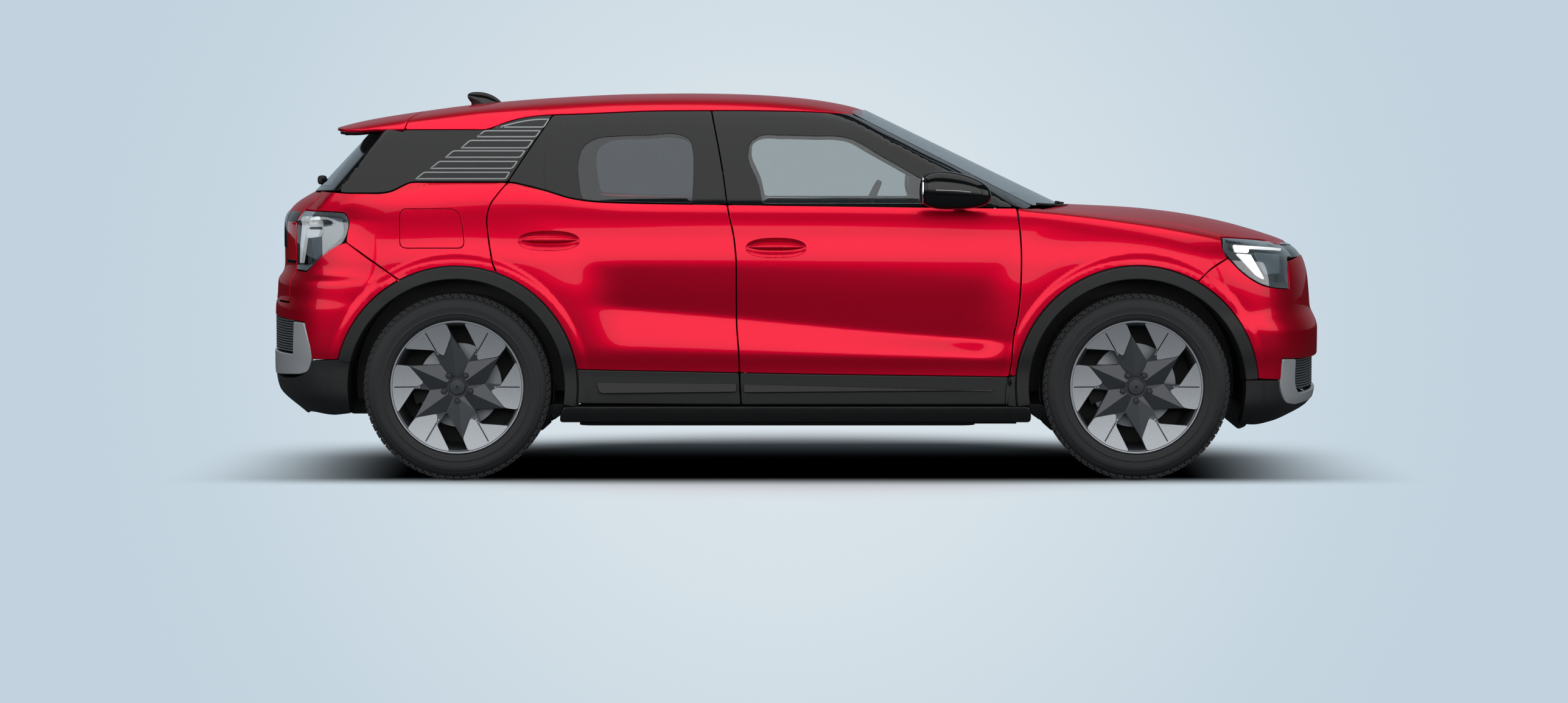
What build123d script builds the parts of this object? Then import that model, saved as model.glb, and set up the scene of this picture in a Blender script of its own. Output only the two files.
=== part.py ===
from build123d import *
import os
from math import cos, dist, radians, sin

os.makedirs("parts", exist_ok=True)

# Driving dimensions in millimetres. +X points forward, +Z up, -Y to the car's right.
# The origin is on the ground, half way between the axles.
WHEELBASE = 2767
FRONT_AXLE = WHEELBASE / 2
REAR_AXLE = -WHEELBASE / 2
TYRE_RADIUS = 382
TRACK_HALF = 805
ARCH_RADIUS = 441
ARCH_TRIM_RADIUS = 492
LINER_RADIUS = 450
DOOR_THICKNESS = 112
FRAME_THICKNESS = 46
SKIN_THICKNESS = 16
SHUT_GAP = 8
SEAM = 1.5
SILL_BEAM_FOOT = 226
BATTERY_FOOT = 206
BATTERY_HEAD = 284
GLASS_THICKNESS = 6
WAIST = 1122

# Plan section of the lower body at each height: height, half width, nose and tail.
BODY_LEVELS = [
    (228, 866, 2110, -2096),
    (330, 898, 2216, -2208),
    (480, 912, 2234, -2234),
    (640, 902, 2224, -2230),
    (780, 914, 2194, -2219),
    (925, 925, 2164, -2190),
    (1050, 907, 2096, -2178),
    (1165, 872, 2000, -2070),
]
NOSE_POWER = 0.2
SIDE_POWER = 0.91
PLAN_ANGLES = [0, 12, 25, 40, 55, 70, 80, 87]

# Cross-section of the cabin top at each station: station, crown height, width factor.
CABIN_STATIONS = [
    (1200, 1548, 0.985),
    (700, 1552, 0.99),
    (150, 1560, 1.0),
    (-300, 1581, 1.0),
    (-900, 1567, 0.985),
    (-1400, 1533, 0.945),
    (-1750, 1485, 0.905),
    (-1950, 1437, 0.88),
    (-2150, 1380, 0.855),
]
CABIN_FOOT = 1040
SCREEN_FOOT = Vector(1120, 0, 1114)
SCREEN_HEAD = Vector(290, 0, 1515)
SCREEN_BOW = 190
TAIL_GLASS_FOOT = Vector(-2052, 0, 1164)
TAIL_GLASS_HEAD = Vector(-1859, 0, 1369)
TAIL_BOW = 120

# Bonnet surface at each station: station, height on the centre line, height at the sides.
BONNET_STATIONS = [
    (850, 1118, 1112),
    (1113, 1108, 1092),
    (1400, 1096, 1048),
    (1700, 1060, 990),
    (2000, 990, 915),
    (2131, 945, 878),
    (2240, 890, 840),
]
BONNET_THICKNESS = 42

# Side view outlines, as (x, z). Each runs from the top to the foot.
FRONT_DOOR_LEADING = [
    (894, 1095), (908, 1000), (912, 880), (902, 700), (878, 560), (862, 430), (852, 312),
]
DOOR_SPLIT = [
    (-338, 1499), (-300, 1256), (-281, 1114), (-250, 930), (-246, 700), (-236, 519), (-222, 312),
]
REAR_DOOR_TRAILING = [
    (-992, 1481), (-1060, 1380), (-1128, 1284), (-1204, 1180), (-1256, 1086), (-1250, 970),
    (-1222, 842),
]
DOOR_HEAD = [
    (-1000, 1494), (-700, 1502), (-338, 1507), (-60, 1504), (204, 1483), (333, 1414), (523, 1322),
    (640, 1268),
]
DOOR_FOOT = 312
ROOF_SIDE_SEAM = 566
ROOF_TAIL_SEAM = -1540
TAILGATE_HALF_WIDTH = 604
TAILGATE_FOOT = 716
TRIM_HEIGHT = 436
TOW_FACE = 2120


def save(part, name):
    """Writes one finished sub-part."""
    part.label = name
    export_step(part, f"parts/{name}.step")


def spacing(points):
    """Share of an outline's length that lies before each of its points."""
    steps = [dist(a, b) for a, b in zip(points, points[1:])]
    return [sum(steps[:i]) / sum(steps) for i in range(len(points))]


def fair_curve(points, pattern, **ends):
    """Curve through the points, spaced as in the pattern, so that lofted sections match."""
    add(Edge.make_spline([Vector(*p) for p in points], parameters=spacing(pattern), **ends))


def plan_points(half_width, nose, tail):
    """Points of the left half of a plan section, from the nose round to the tail."""
    along = [cos(radians(a)) ** NOSE_POWER for a in PLAN_ANGLES]
    across = [half_width * sin(radians(a)) ** SIDE_POWER for a in PLAN_ANGLES]
    front = [(nose * u, v) for u, v in zip(along, across)]
    rear = [(tail * u, v) for u, v in zip(along, across)]
    return front + [(0, half_width)] + rear[::-1]


PLAN_PATTERN = plan_points(910, 2200, -2200)


def body_envelope(inset):
    """Closed lower body up to the waist, moved in by inset all round."""
    with BuildPart() as envelope:
        for height, half_width, nose, tail in BODY_LEVELS:
            with BuildSketch(Plane.XY.offset(height)):
                with BuildLine():
                    fair_curve(plan_points(half_width - inset, nose - inset, tail + inset), PLAN_PATTERN)
                    mirror(about=Plane.XZ)
                make_face()
        loft()
    return envelope.part


def cabin_points(crown, factor, inset):
    """Points of half a cabin section, from the foot over the cantrail to the centre line."""
    top = crown - inset
    return [
        (878 * factor - inset, CABIN_FOOT),
        (872 * factor - inset, 1125),
        (795 * factor - inset, 1300),
        (702 * factor - inset, 1440 - 0.4 * inset),
        (640 * factor - inset, crown - 62 - 0.7 * inset),
        (545 * factor - inset, top - 22),
        (300 * factor - 0.5 * inset, top - 5),
        (0, top),
    ]


CABIN_PATTERN = cabin_points(1565, 1.0, 0)


def cabin_loaf(inset):
    """Cabin top as a bar along the car, before the screens cut its ends."""
    with BuildPart() as loaf:
        for station, crown, factor in CABIN_STATIONS:
            half = cabin_points(crown, factor, inset)
            with BuildSketch(Plane(origin=(station, 0, 0), x_dir=(0, 1, 0), z_dir=(1, 0, 0))):
                with BuildLine():
                    fair_curve(half, CABIN_PATTERN, tangents=[Vector(0, 1), Vector(-1, 0)])
                    Line(half[0], (0, CABIN_FOOT))
                    mirror(about=Plane.YZ)
                make_face()
        loft()
    return loaf.part


def screen_prism(inset):
    """Everything behind the windscreen's outer surface, moved back by inset."""
    slope = SCREEN_HEAD - SCREEN_FOOT
    back = inset * slope.length / slope.Z
    foot = 1020
    centre = SCREEN_FOOT.X + (foot - SCREEN_FOOT.Z) * slope.X / slope.Z - back
    with BuildPart() as prism:
        with BuildSketch(Plane.XY.offset(foot)):
            with BuildLine():
                ThreePointArc((centre - SCREEN_BOW, -800), (centre, 0), (centre - SCREEN_BOW, 800))
                Polyline(
                    (centre - SCREEN_BOW, 800),
                    (centre - SCREEN_BOW - 150, 1000),
                    (-2600, 1000),
                    (-2600, -1000),
                    (centre - SCREEN_BOW - 150, -1000),
                    (centre - SCREEN_BOW, -800),
                )
            make_face()
        extrude(amount=1700, dir=tuple(slope.normalized()))
    return prism.part


def tail_prism(inset):
    """Everything ahead of the tailgate glass's outer surface, moved forward by inset."""
    slope = TAIL_GLASS_HEAD - TAIL_GLASS_FOOT
    ahead = inset * slope.length / slope.Z
    foot = 1020
    centre = TAIL_GLASS_FOOT.X + (foot - TAIL_GLASS_FOOT.Z) * slope.X / slope.Z + ahead
    with BuildPart() as prism:
        with BuildSketch(Plane.XY.offset(foot)):
            with BuildLine():
                ThreePointArc((centre + TAIL_BOW, -700), (centre, 0), (centre + TAIL_BOW, 700))
                Polyline(
                    (centre + TAIL_BOW, 700),
                    (centre + TAIL_BOW + 180, 1000),
                    (1900, 1000),
                    (1900, -1000),
                    (centre + TAIL_BOW + 180, -1000),
                    (centre + TAIL_BOW, -700),
                )
            make_face()
        extrude(amount=900, dir=tuple(slope.normalized()))
    return prism.part


def cabin_envelope(inset):
    """Closed cabin top between both screens, moved in by inset."""
    with BuildPart() as envelope:
        add(cabin_loaf(inset))
        add(screen_prism(inset), mode=Mode.INTERSECT)
        add(tail_prism(inset), mode=Mode.INTERSECT)
    return envelope.part


def bonnet_envelope(drop):
    """Space under the bonnet's crowned surface, lowered by drop."""
    with BuildPart() as envelope:
        for station, centre, edge in BONNET_STATIONS:
            with BuildSketch(Plane(origin=(station, 0, 0), x_dir=(0, 1, 0), z_dir=(1, 0, 0))):
                with BuildLine():
                    ThreePointArc((-940, edge - drop), (0, centre - drop), (940, edge - drop))
                    Polyline((940, edge - drop), (940, 150), (-940, 150), (-940, edge - drop))
                make_face()
        loft()
    return envelope.part


def block(x0, x1, y0, y1, z0, z1):
    """Plain block between the given planes."""
    with BuildPart() as solid:
        with Locations(((x0 + x1) / 2, (y0 + y1) / 2, (z0 + z1) / 2)):
            Box(x1 - x0, y1 - y0, z1 - z0)
    return solid.part


def side_prism(edges):
    """Bar across the whole car whose side view is closed by the given point lists."""
    with BuildPart() as prism:
        with BuildSketch(Plane.XZ):
            with BuildLine():
                for edge in edges:
                    if len(edge) > 2:
                        Spline(*edge)
                    else:
                        Line(*edge)
            make_face()
        extrude(amount=1100, both=True)
    return prism.part


def polygon_prism(points, grow=0.0):
    """Bar across the whole car with a straight-sided side view."""
    with BuildPart() as prism:
        with BuildSketch(Plane.XZ):
            with BuildLine():
                Polyline(*points, close=True)
            make_face()
            if grow:
                offset(amount=grow, kind=Kind.INTERSECTION)
        extrude(amount=1100, both=True)
    return prism.part


def wheel_space(axle, radius):
    """Cylinder across the car round one axle."""
    with BuildPart() as space:
        with BuildSketch(Plane.XZ):
            with Locations((axle, TYRE_RADIUS)):
                Circle(radius)
        extrude(amount=1100, both=True)
    return space.part


def shifted(points, dx=0.0, dz=0.0):
    """The same outline moved in the side view."""
    return [(x + dx, z + dz) for x, z in points]


def front_door_edges(gap):
    """Side outline of the front door, pulled in by gap on every edge."""
    lead = shifted(FRONT_DOOR_LEADING, dx=-gap)
    split = shifted(DOOR_SPLIT, dx=gap)
    head = shifted([p for p in DOOR_HEAD if p[0] > -338], dz=-gap)
    foot = DOOR_FOOT + gap
    return [
        lead[:-1] + [(lead[-1][0], foot)],
        [(lead[-1][0], foot), (split[-1][0], foot)],
        [(split[-1][0], foot)] + split[-2:0:-1] + [(split[0][0], head[0][1])],
        [(split[0][0], head[0][1]), head[0]],
        head,
        [head[-1], lead[0]],
    ]


def rear_door_edges(gap):
    """Side outline of the rear door, pulled in by gap on every edge."""
    trail = shifted(REAR_DOOR_TRAILING, dx=gap)
    split = shifted(DOOR_SPLIT, dx=-gap)
    head = shifted([p for p in DOOR_HEAD if p[0] <= -338], dz=-gap)
    foot = DOOR_FOOT + gap
    return [
        [(split[0][0], head[-1][1] - 2)] + split[1:-1] + [(split[-1][0], foot)],
        [(split[-1][0], foot), (-900 + gap, foot)],
        [(-900 + gap, foot), (-900 + gap, 600)],
        [(-900 + gap, 600), (trail[-1][0], 600)],
        [(trail[-1][0], 600), trail[-1]],
        trail[::-1],
        [trail[0], (trail[0][0], head[0][1] - 4)],
        [(trail[0][0], head[0][1] - 4), head[1], (split[0][0], head[-1][1] - 2)],
    ]


FRONT_WINDOW = [(-196, 1388), (-120, 1418), (204, 1390), (520, 1240), (690, 1136), (-196, 1140)]
REAR_WINDOW = [(-404, 1418), (-800, 1404), (-900, 1330), (-1000, 1190), (-1000, 1146), (-385, 1142)]
FRONT_INNER_LOW = [
    (835, WAIST), (878, 1060), (880, 1000), (878, 850), (850, 640), (820, 340), (-196, 340),
    (-222, 900), (-256, WAIST),
]
FRONT_INNER_HIGH = [
    (840, WAIST - 14), (620, 1245), (520, 1296), (330, 1388), (195, 1460), (-60, 1482),
    (-300, 1482), (-272, WAIST - 14),
]
REAR_INNER_LOW = [
    (-310, WAIST), (-280, 930), (-262, 340), (-860, 340), (-900, 600), (-1100, 880), (-1222, 880),
    (-1226, 1086), (-1200, WAIST),
]
REAR_INNER_HIGH = [
    (-310, WAIST - 14), (-360, 1482), (-700, 1480), (-960, 1466), (-1100, 1284), (-1170, 1190),
    (-1200, WAIST - 14),
]
QUARTER_WINDOW = [(-1060, 1440), (-1180, 1440), (-1520, 1236), (-1205, 1236)]


def mirrored(part, side):
    """The part itself for the left side, its mirror image for the right."""
    if side > 0:
        return part
    with BuildPart() as other:
        add(part)
        mirror(about=Plane.XZ, mode=Mode.REPLACE)
    return other.part


# Envelopes that every panel is cut from.
body_outer = body_envelope(0)
body_inner = body_envelope(DOOR_THICKNESS)
body_under_skin = body_envelope(SKIN_THICKNESS)
cabin_outer = cabin_envelope(0)
cabin_inner = cabin_envelope(FRAME_THICKNESS)
cabin_under_skin = cabin_envelope(SKIN_THICKNESS)
bonnet_outer = bonnet_envelope(0)
bonnet_inner = bonnet_envelope(BONNET_THICKNESS)
front_arch = wheel_space(FRONT_AXLE, ARCH_TRIM_RADIUS + SEAM)
rear_arch = wheel_space(REAR_AXLE, ARCH_TRIM_RADIUS + SEAM)


def cut_between(outer, inner, region):
    """The space between two envelopes inside one region."""
    with BuildPart() as shell:
        add(outer)
        add(region, mode=Mode.INTERSECT)
        add(inner, mode=Mode.SUBTRACT)
    return shell.part


DOOR_LOW = block(-1320, 960, 500, 1000, 200, WAIST)
DOOR_HIGH = block(-1320, 960, 500, 1000, WAIST - 14, 1700)
door_wall = cut_between(body_outer, body_inner, DOOR_LOW)
door_skin = cut_between(body_outer, body_under_skin, DOOR_LOW)
cabin_wall = cut_between(cabin_outer, cabin_inner, block(-2100, 1300, 300, 1000, WAIST - 14, 1700))
head_skin = cut_between(cabin_outer, cabin_under_skin, DOOR_HIGH)


def side_door(edges, inner_low, inner_high, window):
    """One left door: a full outer skin on an inner frame that is smaller all round."""
    skin_outline = side_prism(edges(SHUT_GAP / 2))
    with BuildPart() as lower:
        add(door_wall)
        add(polygon_prism(inner_low), mode=Mode.INTERSECT)
    with BuildPart() as frame:
        add(cabin_wall)
        add(polygon_prism(inner_high), mode=Mode.INTERSECT)
    with BuildPart() as lower_skin:
        add(door_skin)
        add(skin_outline, mode=Mode.INTERSECT)
    with BuildPart() as frame_skin:
        add(head_skin)
        add(skin_outline, mode=Mode.INTERSECT)
    with BuildPart() as whole:
        add(lower.part)
        add(lower_skin.part)
        add(frame.part)
        add(frame_skin.part)
        add(polygon_prism(window), mode=Mode.SUBTRACT)
    return whole.part


def window_pane(window):
    """Pane that fills a window between the faces of its frame."""
    with BuildPart() as pane:
        add(cabin_outer)
        add(polygon_prism(window, -SEAM), mode=Mode.INTERSECT)
        add(block(-2300, 2300, 300, 1000, 1000, 1700), mode=Mode.INTERSECT)
        add(cabin_under_skin, mode=Mode.SUBTRACT)
    return pane.part


MIRROR_ROOT = [(502, 1122), (560, 1109), (720, 1111), (784, 1142), (776, 1196), (700, 1246), (600, 1261), (506, 1250)]
MIRROR_TIP = [(514, 1130), (570, 1120), (705, 1124), (752, 1152), (744, 1192), (690, 1234), (600, 1248), (517, 1240)]


def mirror_housing():
    """Left door mirror on its foot."""
    with BuildPart() as housing:
        with BuildSketch(Plane.XZ.offset(-905)):
            with BuildLine():
                Polyline(*MIRROR_ROOT, close=True)
            make_face()
        with BuildSketch(Plane.XZ.offset(-1028)):
            with BuildLine():
                Polyline(*MIRROR_TIP, close=True)
            make_face()
        loft()
        with Locations((660, 895, 1134)):
            Box(120, 36, 26)
    return housing.part


front_door = side_door(front_door_edges, FRONT_INNER_LOW, FRONT_INNER_HIGH, FRONT_WINDOW)
rear_door = side_door(rear_door_edges, REAR_INNER_LOW, REAR_INNER_HIGH, REAR_WINDOW)
front_pane = window_pane(FRONT_WINDOW)
rear_pane = window_pane(REAR_WINDOW)
with BuildPart() as rear_door_clear:
    add(rear_door)
    add(wheel_space(REAR_AXLE, ARCH_TRIM_RADIUS + 10), mode=Mode.SUBTRACT)
with BuildPart() as mirror_clear:
    add(mirror_housing())
    add(front_door, mode=Mode.SUBTRACT)
for side, word in ((1, "left"), (-1, "right")):
    save(mirrored(front_door, side), f"front_{word}_door")
    save(mirrored(rear_door_clear.part, side), f"rear_{word}_door")
    save(mirrored(front_pane, side), f"front_{word}_window")
    save(mirrored(rear_pane, side), f"rear_{word}_window")
    save(mirrored(mirror_clear.part, side), f"{word}_mirror")

# Bonnet, wings, lamps and bumpers at the nose.
NOSE_SPACE = block(840, 2300, -1000, 1000, 150, 1200)
with BuildPart() as nose_outer:
    add(body_outer)
    add(bonnet_outer, mode=Mode.INTERSECT)
with BuildPart() as nose_inner:
    add(body_envelope(60))
    add(bonnet_inner, mode=Mode.INTERSECT)
nose_wall = cut_between(nose_outer.part, nose_inner.part, NOSE_SPACE)


def bonnet_plan(grow):
    """Upright bar whose plan is the bonnet's outline, grown all round."""
    with BuildPart() as plan:
        with BuildSketch(Plane.XY.offset(700)):
            with BuildLine():
                ThreePointArc((985 - grow, 772 + grow), (1136 - grow, 0), (985 - grow, -772 - grow))
                side = Spline(
                    (985 - grow, -772 - grow),
                    (1400, -765 - grow),
                    (1750, -715 - grow),
                    (1950 + grow / 2, -620 - grow),
                    (2030 + grow, -470 - grow),
                    (2085 + grow, -200),
                    (2092 + grow, 0),
                    tangents=[(1, 0), (0, 1)],
                )
                mirror(side, about=Plane.XZ)
            make_face()
        extrude(amount=600)
    return plan.part


HEADLAMP = [
    (1722, 1010), (2200, 1010), (2200, 905), (2060, 886), (2002, 781), (1895, 798), (1800, 859),
    (1739, 930),
]
with BuildPart() as bonnet:
    add(nose_wall)
    add(bonnet_plan(0), mode=Mode.INTERSECT)
    add(block(900, 2300, -1000, 1000, 880, 1300), mode=Mode.INTERSECT)
save(bonnet.part, "bonnet")

bonnet_hole = bonnet_plan(5)
with BuildPart() as lamp_block:
    add(polygon_prism(HEADLAMP))
    add(block(1600, 2300, -560, 560, 700, 1100), mode=Mode.SUBTRACT)
with BuildPart() as headlamps:
    add(nose_wall)
    add(lamp_block.part, mode=Mode.INTERSECT)
    add(bonnet_hole, mode=Mode.SUBTRACT)
save(headlamps.part, "headlamps")

lamp_hole = polygon_prism(HEADLAMP, SEAM)
with BuildPart() as lamp_cut:
    add(lamp_hole)
    add(block(1600, 2300, -560 + SEAM, 560 - SEAM, 700, 1100), mode=Mode.SUBTRACT)
WING = [
    (840, DOOR_FOOT), (840, 1106), (2300, 1106), (2300, 990), (1752, 990), (1748, 905),
    (1675, 860), (1632, 818), (1632, 650), (1400, 650), (1400, DOOR_FOOT),
]
with BuildPart() as front_wings:
    add(nose_wall)
    add(polygon_prism(WING), mode=Mode.INTERSECT)
    add(bonnet_hole, mode=Mode.SUBTRACT)
    add(lamp_cut.part, mode=Mode.SUBTRACT)
    add(front_arch, mode=Mode.SUBTRACT)
    add(side_prism(front_door_edges(-SHUT_GAP / 2)), mode=Mode.SUBTRACT)
    add(block(700, 2300, -620, 620, 100, 1300), mode=Mode.SUBTRACT)
save(front_wings.part, "front_wings")

BUMPER = [
    (1634, TRIM_HEIGHT), (1634, 816), (1677, 858), (1750, 903), (1754, 988), (2300, 988),
    (2300, TRIM_HEIGHT),
]
with BuildPart() as front_bumper:
    add(nose_wall)
    add(polygon_prism(BUMPER), mode=Mode.INTERSECT)
    add(bonnet_hole, mode=Mode.SUBTRACT)
    add(lamp_cut.part, mode=Mode.SUBTRACT)
    add(front_arch, mode=Mode.SUBTRACT)
    with Locations((2120, -480, 560)):
        Box(400, 70, 70, mode=Mode.SUBTRACT)
save(front_bumper.part, "front_bumper")

with BuildPart() as front_lower_trim:
    add(nose_wall)
    add(block(1700, 2300, -1000, 1000, 150, TRIM_HEIGHT - SEAM), mode=Mode.INTERSECT)
    add(front_arch, mode=Mode.SUBTRACT)
save(front_lower_trim.part, "front_lower_trim")

# Scuttle between bonnet and windscreen, and the windscreen itself.
with BuildPart() as screen_opening:
    with BuildSketch(Plane.YZ.offset(286)):
        with BuildLine():
            Polyline((-596, 1540), (596, 1540), (700, 1060), (-700, 1060), close=True)
        make_face()
    extrude(amount=1100)
with BuildPart() as windscreen:
    add(cabin_outer)
    add(screen_prism(GLASS_THICKNESS), mode=Mode.SUBTRACT)
    add(screen_opening.part, mode=Mode.INTERSECT)
    add(block(288, 1300, -1000, 1000, 1109, 1600), mode=Mode.INTERSECT)
save(windscreen.part, "windscreen")

with BuildPart() as cowl_panel:
    add(block(942, 1120, -612, 612, 1042, 1054))
save(cowl_panel.part, "cowl_panel")

# Roof, pillars, quarters and sills.
with BuildPart() as roof_panel:
    add(cabin_outer)
    roof_reach = (ROOF_TAIL_SEAM + SEAM, 285, -ROOF_SIDE_SEAM, ROOF_SIDE_SEAM)
    add(block(*roof_reach, 1400, 1700), mode=Mode.INTERSECT)
    add(cabin_inner, mode=Mode.SUBTRACT)
save(roof_panel.part, "roof_panel")

rear_wall = cut_between(body_outer, body_inner, block(-2300, -1100, -1000, 1000, 200, 1160))
DOOR_HOLES = [side_prism(front_door_edges(-SHUT_GAP / 2)), side_prism(rear_door_edges(-SHUT_GAP / 2))]
TAIL_REGION = [
    (-2300, 1040), (-1885, 1040), (-1885, 1120), (-1875, 1196), (-1609, 1424), (-1549, 1502),
    (-1543, 1700), (-2300, 1700),
]
PILLAR_REGION = [
    (-1538, 1700), (-1544, 1506), (-1603, 1429), (-1868, 1199), (-1876, 1108), (1400, 1108),
    (1400, 1700),
]
QUARTER = [
    (-1150, 640), (-1150, WAIST), (-1876, WAIST), (-1880, 1158), (-2200, 1158), (-2200, 1098),
    (-1834, 1098), (-1824, 1000),
]
QUARTER += [(-1850, 965), (-1832, 972), (-1611, 814), (-1611, 640)]


def body_side(with_flap):
    """Left pillars, cantrail, rear quarter and sill as one pressed side."""
    with BuildPart() as ring:
        add(cabin_wall)
        add(polygon_prism(PILLAR_REGION), mode=Mode.INTERSECT)
        add(block(-1700, 287, 0, ROOF_SIDE_SEAM + SEAM, 1400, 1700), mode=Mode.SUBTRACT)
        add(screen_opening.part, mode=Mode.SUBTRACT)
        add(polygon_prism(QUARTER_WINDOW), mode=Mode.SUBTRACT)
    with BuildPart() as quarter:
        add(rear_wall)
        add(polygon_prism(QUARTER), mode=Mode.INTERSECT)
        add(block(-2300, -1000, TAILGATE_HALF_WIDTH + 5, 1000, 200, 1200), mode=Mode.INTERSECT)
    with BuildPart() as whole:
        add(ring.part)
        add(quarter.part)
        for hole in DOOR_HOLES:
            add(hole, mode=Mode.SUBTRACT)
        add(rear_arch, mode=Mode.SUBTRACT)
        if with_flap:
            add(flap_prism(SEAM + 1), mode=Mode.SUBTRACT)
    return whole.part


def flap_prism(grow):
    """Short bar with the charge flap's rounded outline, through the left skin only."""
    with BuildPart() as prism:
        with BuildSketch(Plane.XZ.offset(-840)):
            with BuildLine():
                Polyline(
                    (-1610 - grow, 950 - grow),
                    (-1610 - grow, 1108 + grow),
                    (-1400 + grow / 2, 1108 + grow),
                    (-1350 + grow, 1040),
                    (-1350 + grow, 950 - grow),
                    close=True,
                )
            make_face()
            fillet(vertices(), 24)
        extrude(amount=-160)
    return prism.part


plain_side = body_side(False)
flap_side = body_side(True)
save(plain_side, "left_body_side")
save(mirrored(flap_side, -1), "right_body_side")
flap_skin = cut_between(body_outer, body_under_skin, block(-1700, -1300, 700, 1000, 900, 1160))
with BuildPart() as flap:
    add(flap_skin)
    add(flap_prism(-SEAM), mode=Mode.INTERSECT)
save(mirrored(flap.part, -1), "charge_flap")

with BuildPart() as roof_antenna:
    with BuildSketch(Plane.XY.offset(1533)):
        SlotOverall(150, 44)
    with BuildSketch(Plane.XY.offset(1590)):
        with Locations((-45, 0)):
            SlotOverall(38, 10)
    loft()
with BuildPart() as antenna_placed:
    with Locations((-1392, 0, 0)):
        add(roof_antenna.part)
    add(cabin_outer, mode=Mode.SUBTRACT)
save(antenna_placed.part, "roof_antenna")

quarter_pane = window_pane(QUARTER_WINDOW)
with BuildPart() as quarter_glasses:
    add(quarter_pane)
    add(mirrored(quarter_pane, -1))
save(quarter_glasses.part, "quarter_glasses")

# Tailgate with its glass, lamps and the rear bumper.
TAIL_GLASS = [(-470, 1374), (470, 1374), (560, 1176), (-560, 1176)]
with BuildPart() as tail_opening:
    with BuildSketch(Plane.YZ.offset(-2300)):
        with BuildLine():
            Polyline(*TAIL_GLASS, close=True)
        make_face()
    extrude(amount=600)
SPOILER = [(-1700, 1440), (-1700, 1600), (-1953, 1600), (-1953, 1424), (-1862, 1394)]
with BuildPart() as spoiler:
    add(cabin_loaf(0))
    add(polygon_prism(SPOILER), mode=Mode.INTERSECT)
    with BuildSketch(Plane.XY.offset(1300)):
        with BuildLine():
            ThreePointArc((-1906, 590), (-1953, 0), (-1906, -590))
            Polyline((-1906, -590), (-1600, -620), (-1600, 620), (-1906, 590))
        make_face()
    extrude(amount=400, mode=Mode.INTERSECT)
with BuildPart() as tail_frame:
    add(cabin_outer)
    add(polygon_prism(TAIL_REGION), mode=Mode.INTERSECT)
    add(cabin_inner, mode=Mode.SUBTRACT)
    add(tail_opening.part, mode=Mode.SUBTRACT)
    add(block(-2300, -1500, TAILGATE_HALF_WIDTH, 1000, 1000, 1166), mode=Mode.SUBTRACT)
    add(block(-2300, -1500, -1000, -TAILGATE_HALF_WIDTH, 1000, 1166), mode=Mode.SUBTRACT)
with BuildPart() as tailgate:
    add(rear_wall)
    half = TAILGATE_HALF_WIDTH
    add(block(-2300, -1900, -half, half, TAILGATE_FOOT, 1160), mode=Mode.INTERSECT)
    add(tail_frame.part)
    add(spoiler.part)
save(tailgate.part, "tailgate")

with BuildPart() as tailgate_glass:
    add(cabin_outer)
    add(tail_prism(GLASS_THICKNESS), mode=Mode.SUBTRACT)
    add(tail_opening.part, mode=Mode.INTERSECT)
    add(spoiler.part, mode=Mode.SUBTRACT)
save(tailgate_glass.part, "tailgate_glass")

TAIL_LAMP = [(-1842, 1094), (-2260, 1094), (-2260, 852), (-1994, 852), (-1856, 958), (-1833, 1002)]
with BuildPart() as tail_lamps:
    add(rear_wall)
    add(polygon_prism(TAIL_LAMP), mode=Mode.INTERSECT)
    add(block(-2300, -1500, -half - 5, half + 5, 600, 1200), mode=Mode.SUBTRACT)
save(tail_lamps.part, "tail_lamps")

tail_wall = cut_between(body_outer, body_inner, block(-2300, -1580, -1000, 1000, TRIM_HEIGHT, 850))
REAR_BUMPER = [
    (-1613, TRIM_HEIGHT), (-1613, 812), (-1833, 969), (-1990, 847), (-2300, 847),
    (-2300, TRIM_HEIGHT),
]
with BuildPart() as rear_bumper:
    add(tail_wall)
    add(polygon_prism(REAR_BUMPER), mode=Mode.INTERSECT)
    add(block(-2300, -1500, -half - 6, half + 6, TAILGATE_FOOT - 6, 900), mode=Mode.SUBTRACT)
    add(rear_arch, mode=Mode.SUBTRACT)
    with Locations((-2120, -480, 560)):
        Box(400, 70, 70, mode=Mode.SUBTRACT)
save(rear_bumper.part, "rear_bumper")

with BuildPart() as rear_lower_trim:
    add(body_outer)
    add(block(-2300, -1740, -1000, 1000, 150, TRIM_HEIGHT - SEAM), mode=Mode.INTERSECT)
    add(body_inner, mode=Mode.SUBTRACT)
    add(rear_arch, mode=Mode.SUBTRACT)
save(rear_lower_trim.part, "rear_lower_trim")

# Dark cladding round the arches and along the sills.
cladding_outer = body_envelope(-10)
cladding_inner = body_envelope(46)
with BuildPart() as wheel_arch_trims:
    for axle in (FRONT_AXLE, REAR_AXLE):
        with BuildSketch(Plane.XZ):
            with Locations((axle, TYRE_RADIUS)):
                Circle(ARCH_TRIM_RADIUS)
                Circle(ARCH_RADIUS, mode=Mode.SUBTRACT)
        extrude(amount=1100, both=True)
    add(cladding_outer, mode=Mode.INTERSECT)
    add(cladding_inner, mode=Mode.SUBTRACT)
    add(block(-2300, 2300, -1000, 1000, 100, 236), mode=Mode.SUBTRACT)
save(wheel_arch_trims.part, "wheel_arch_trims")

with BuildPart() as sill_trims:
    add(cladding_outer)
    add(block(-888, 886, -1000, 1000, 232, DOOR_FOOT - 6), mode=Mode.INTERSECT)
    add(cladding_inner, mode=Mode.SUBTRACT)
save(sill_trims.part, "sill_trims")

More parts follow.
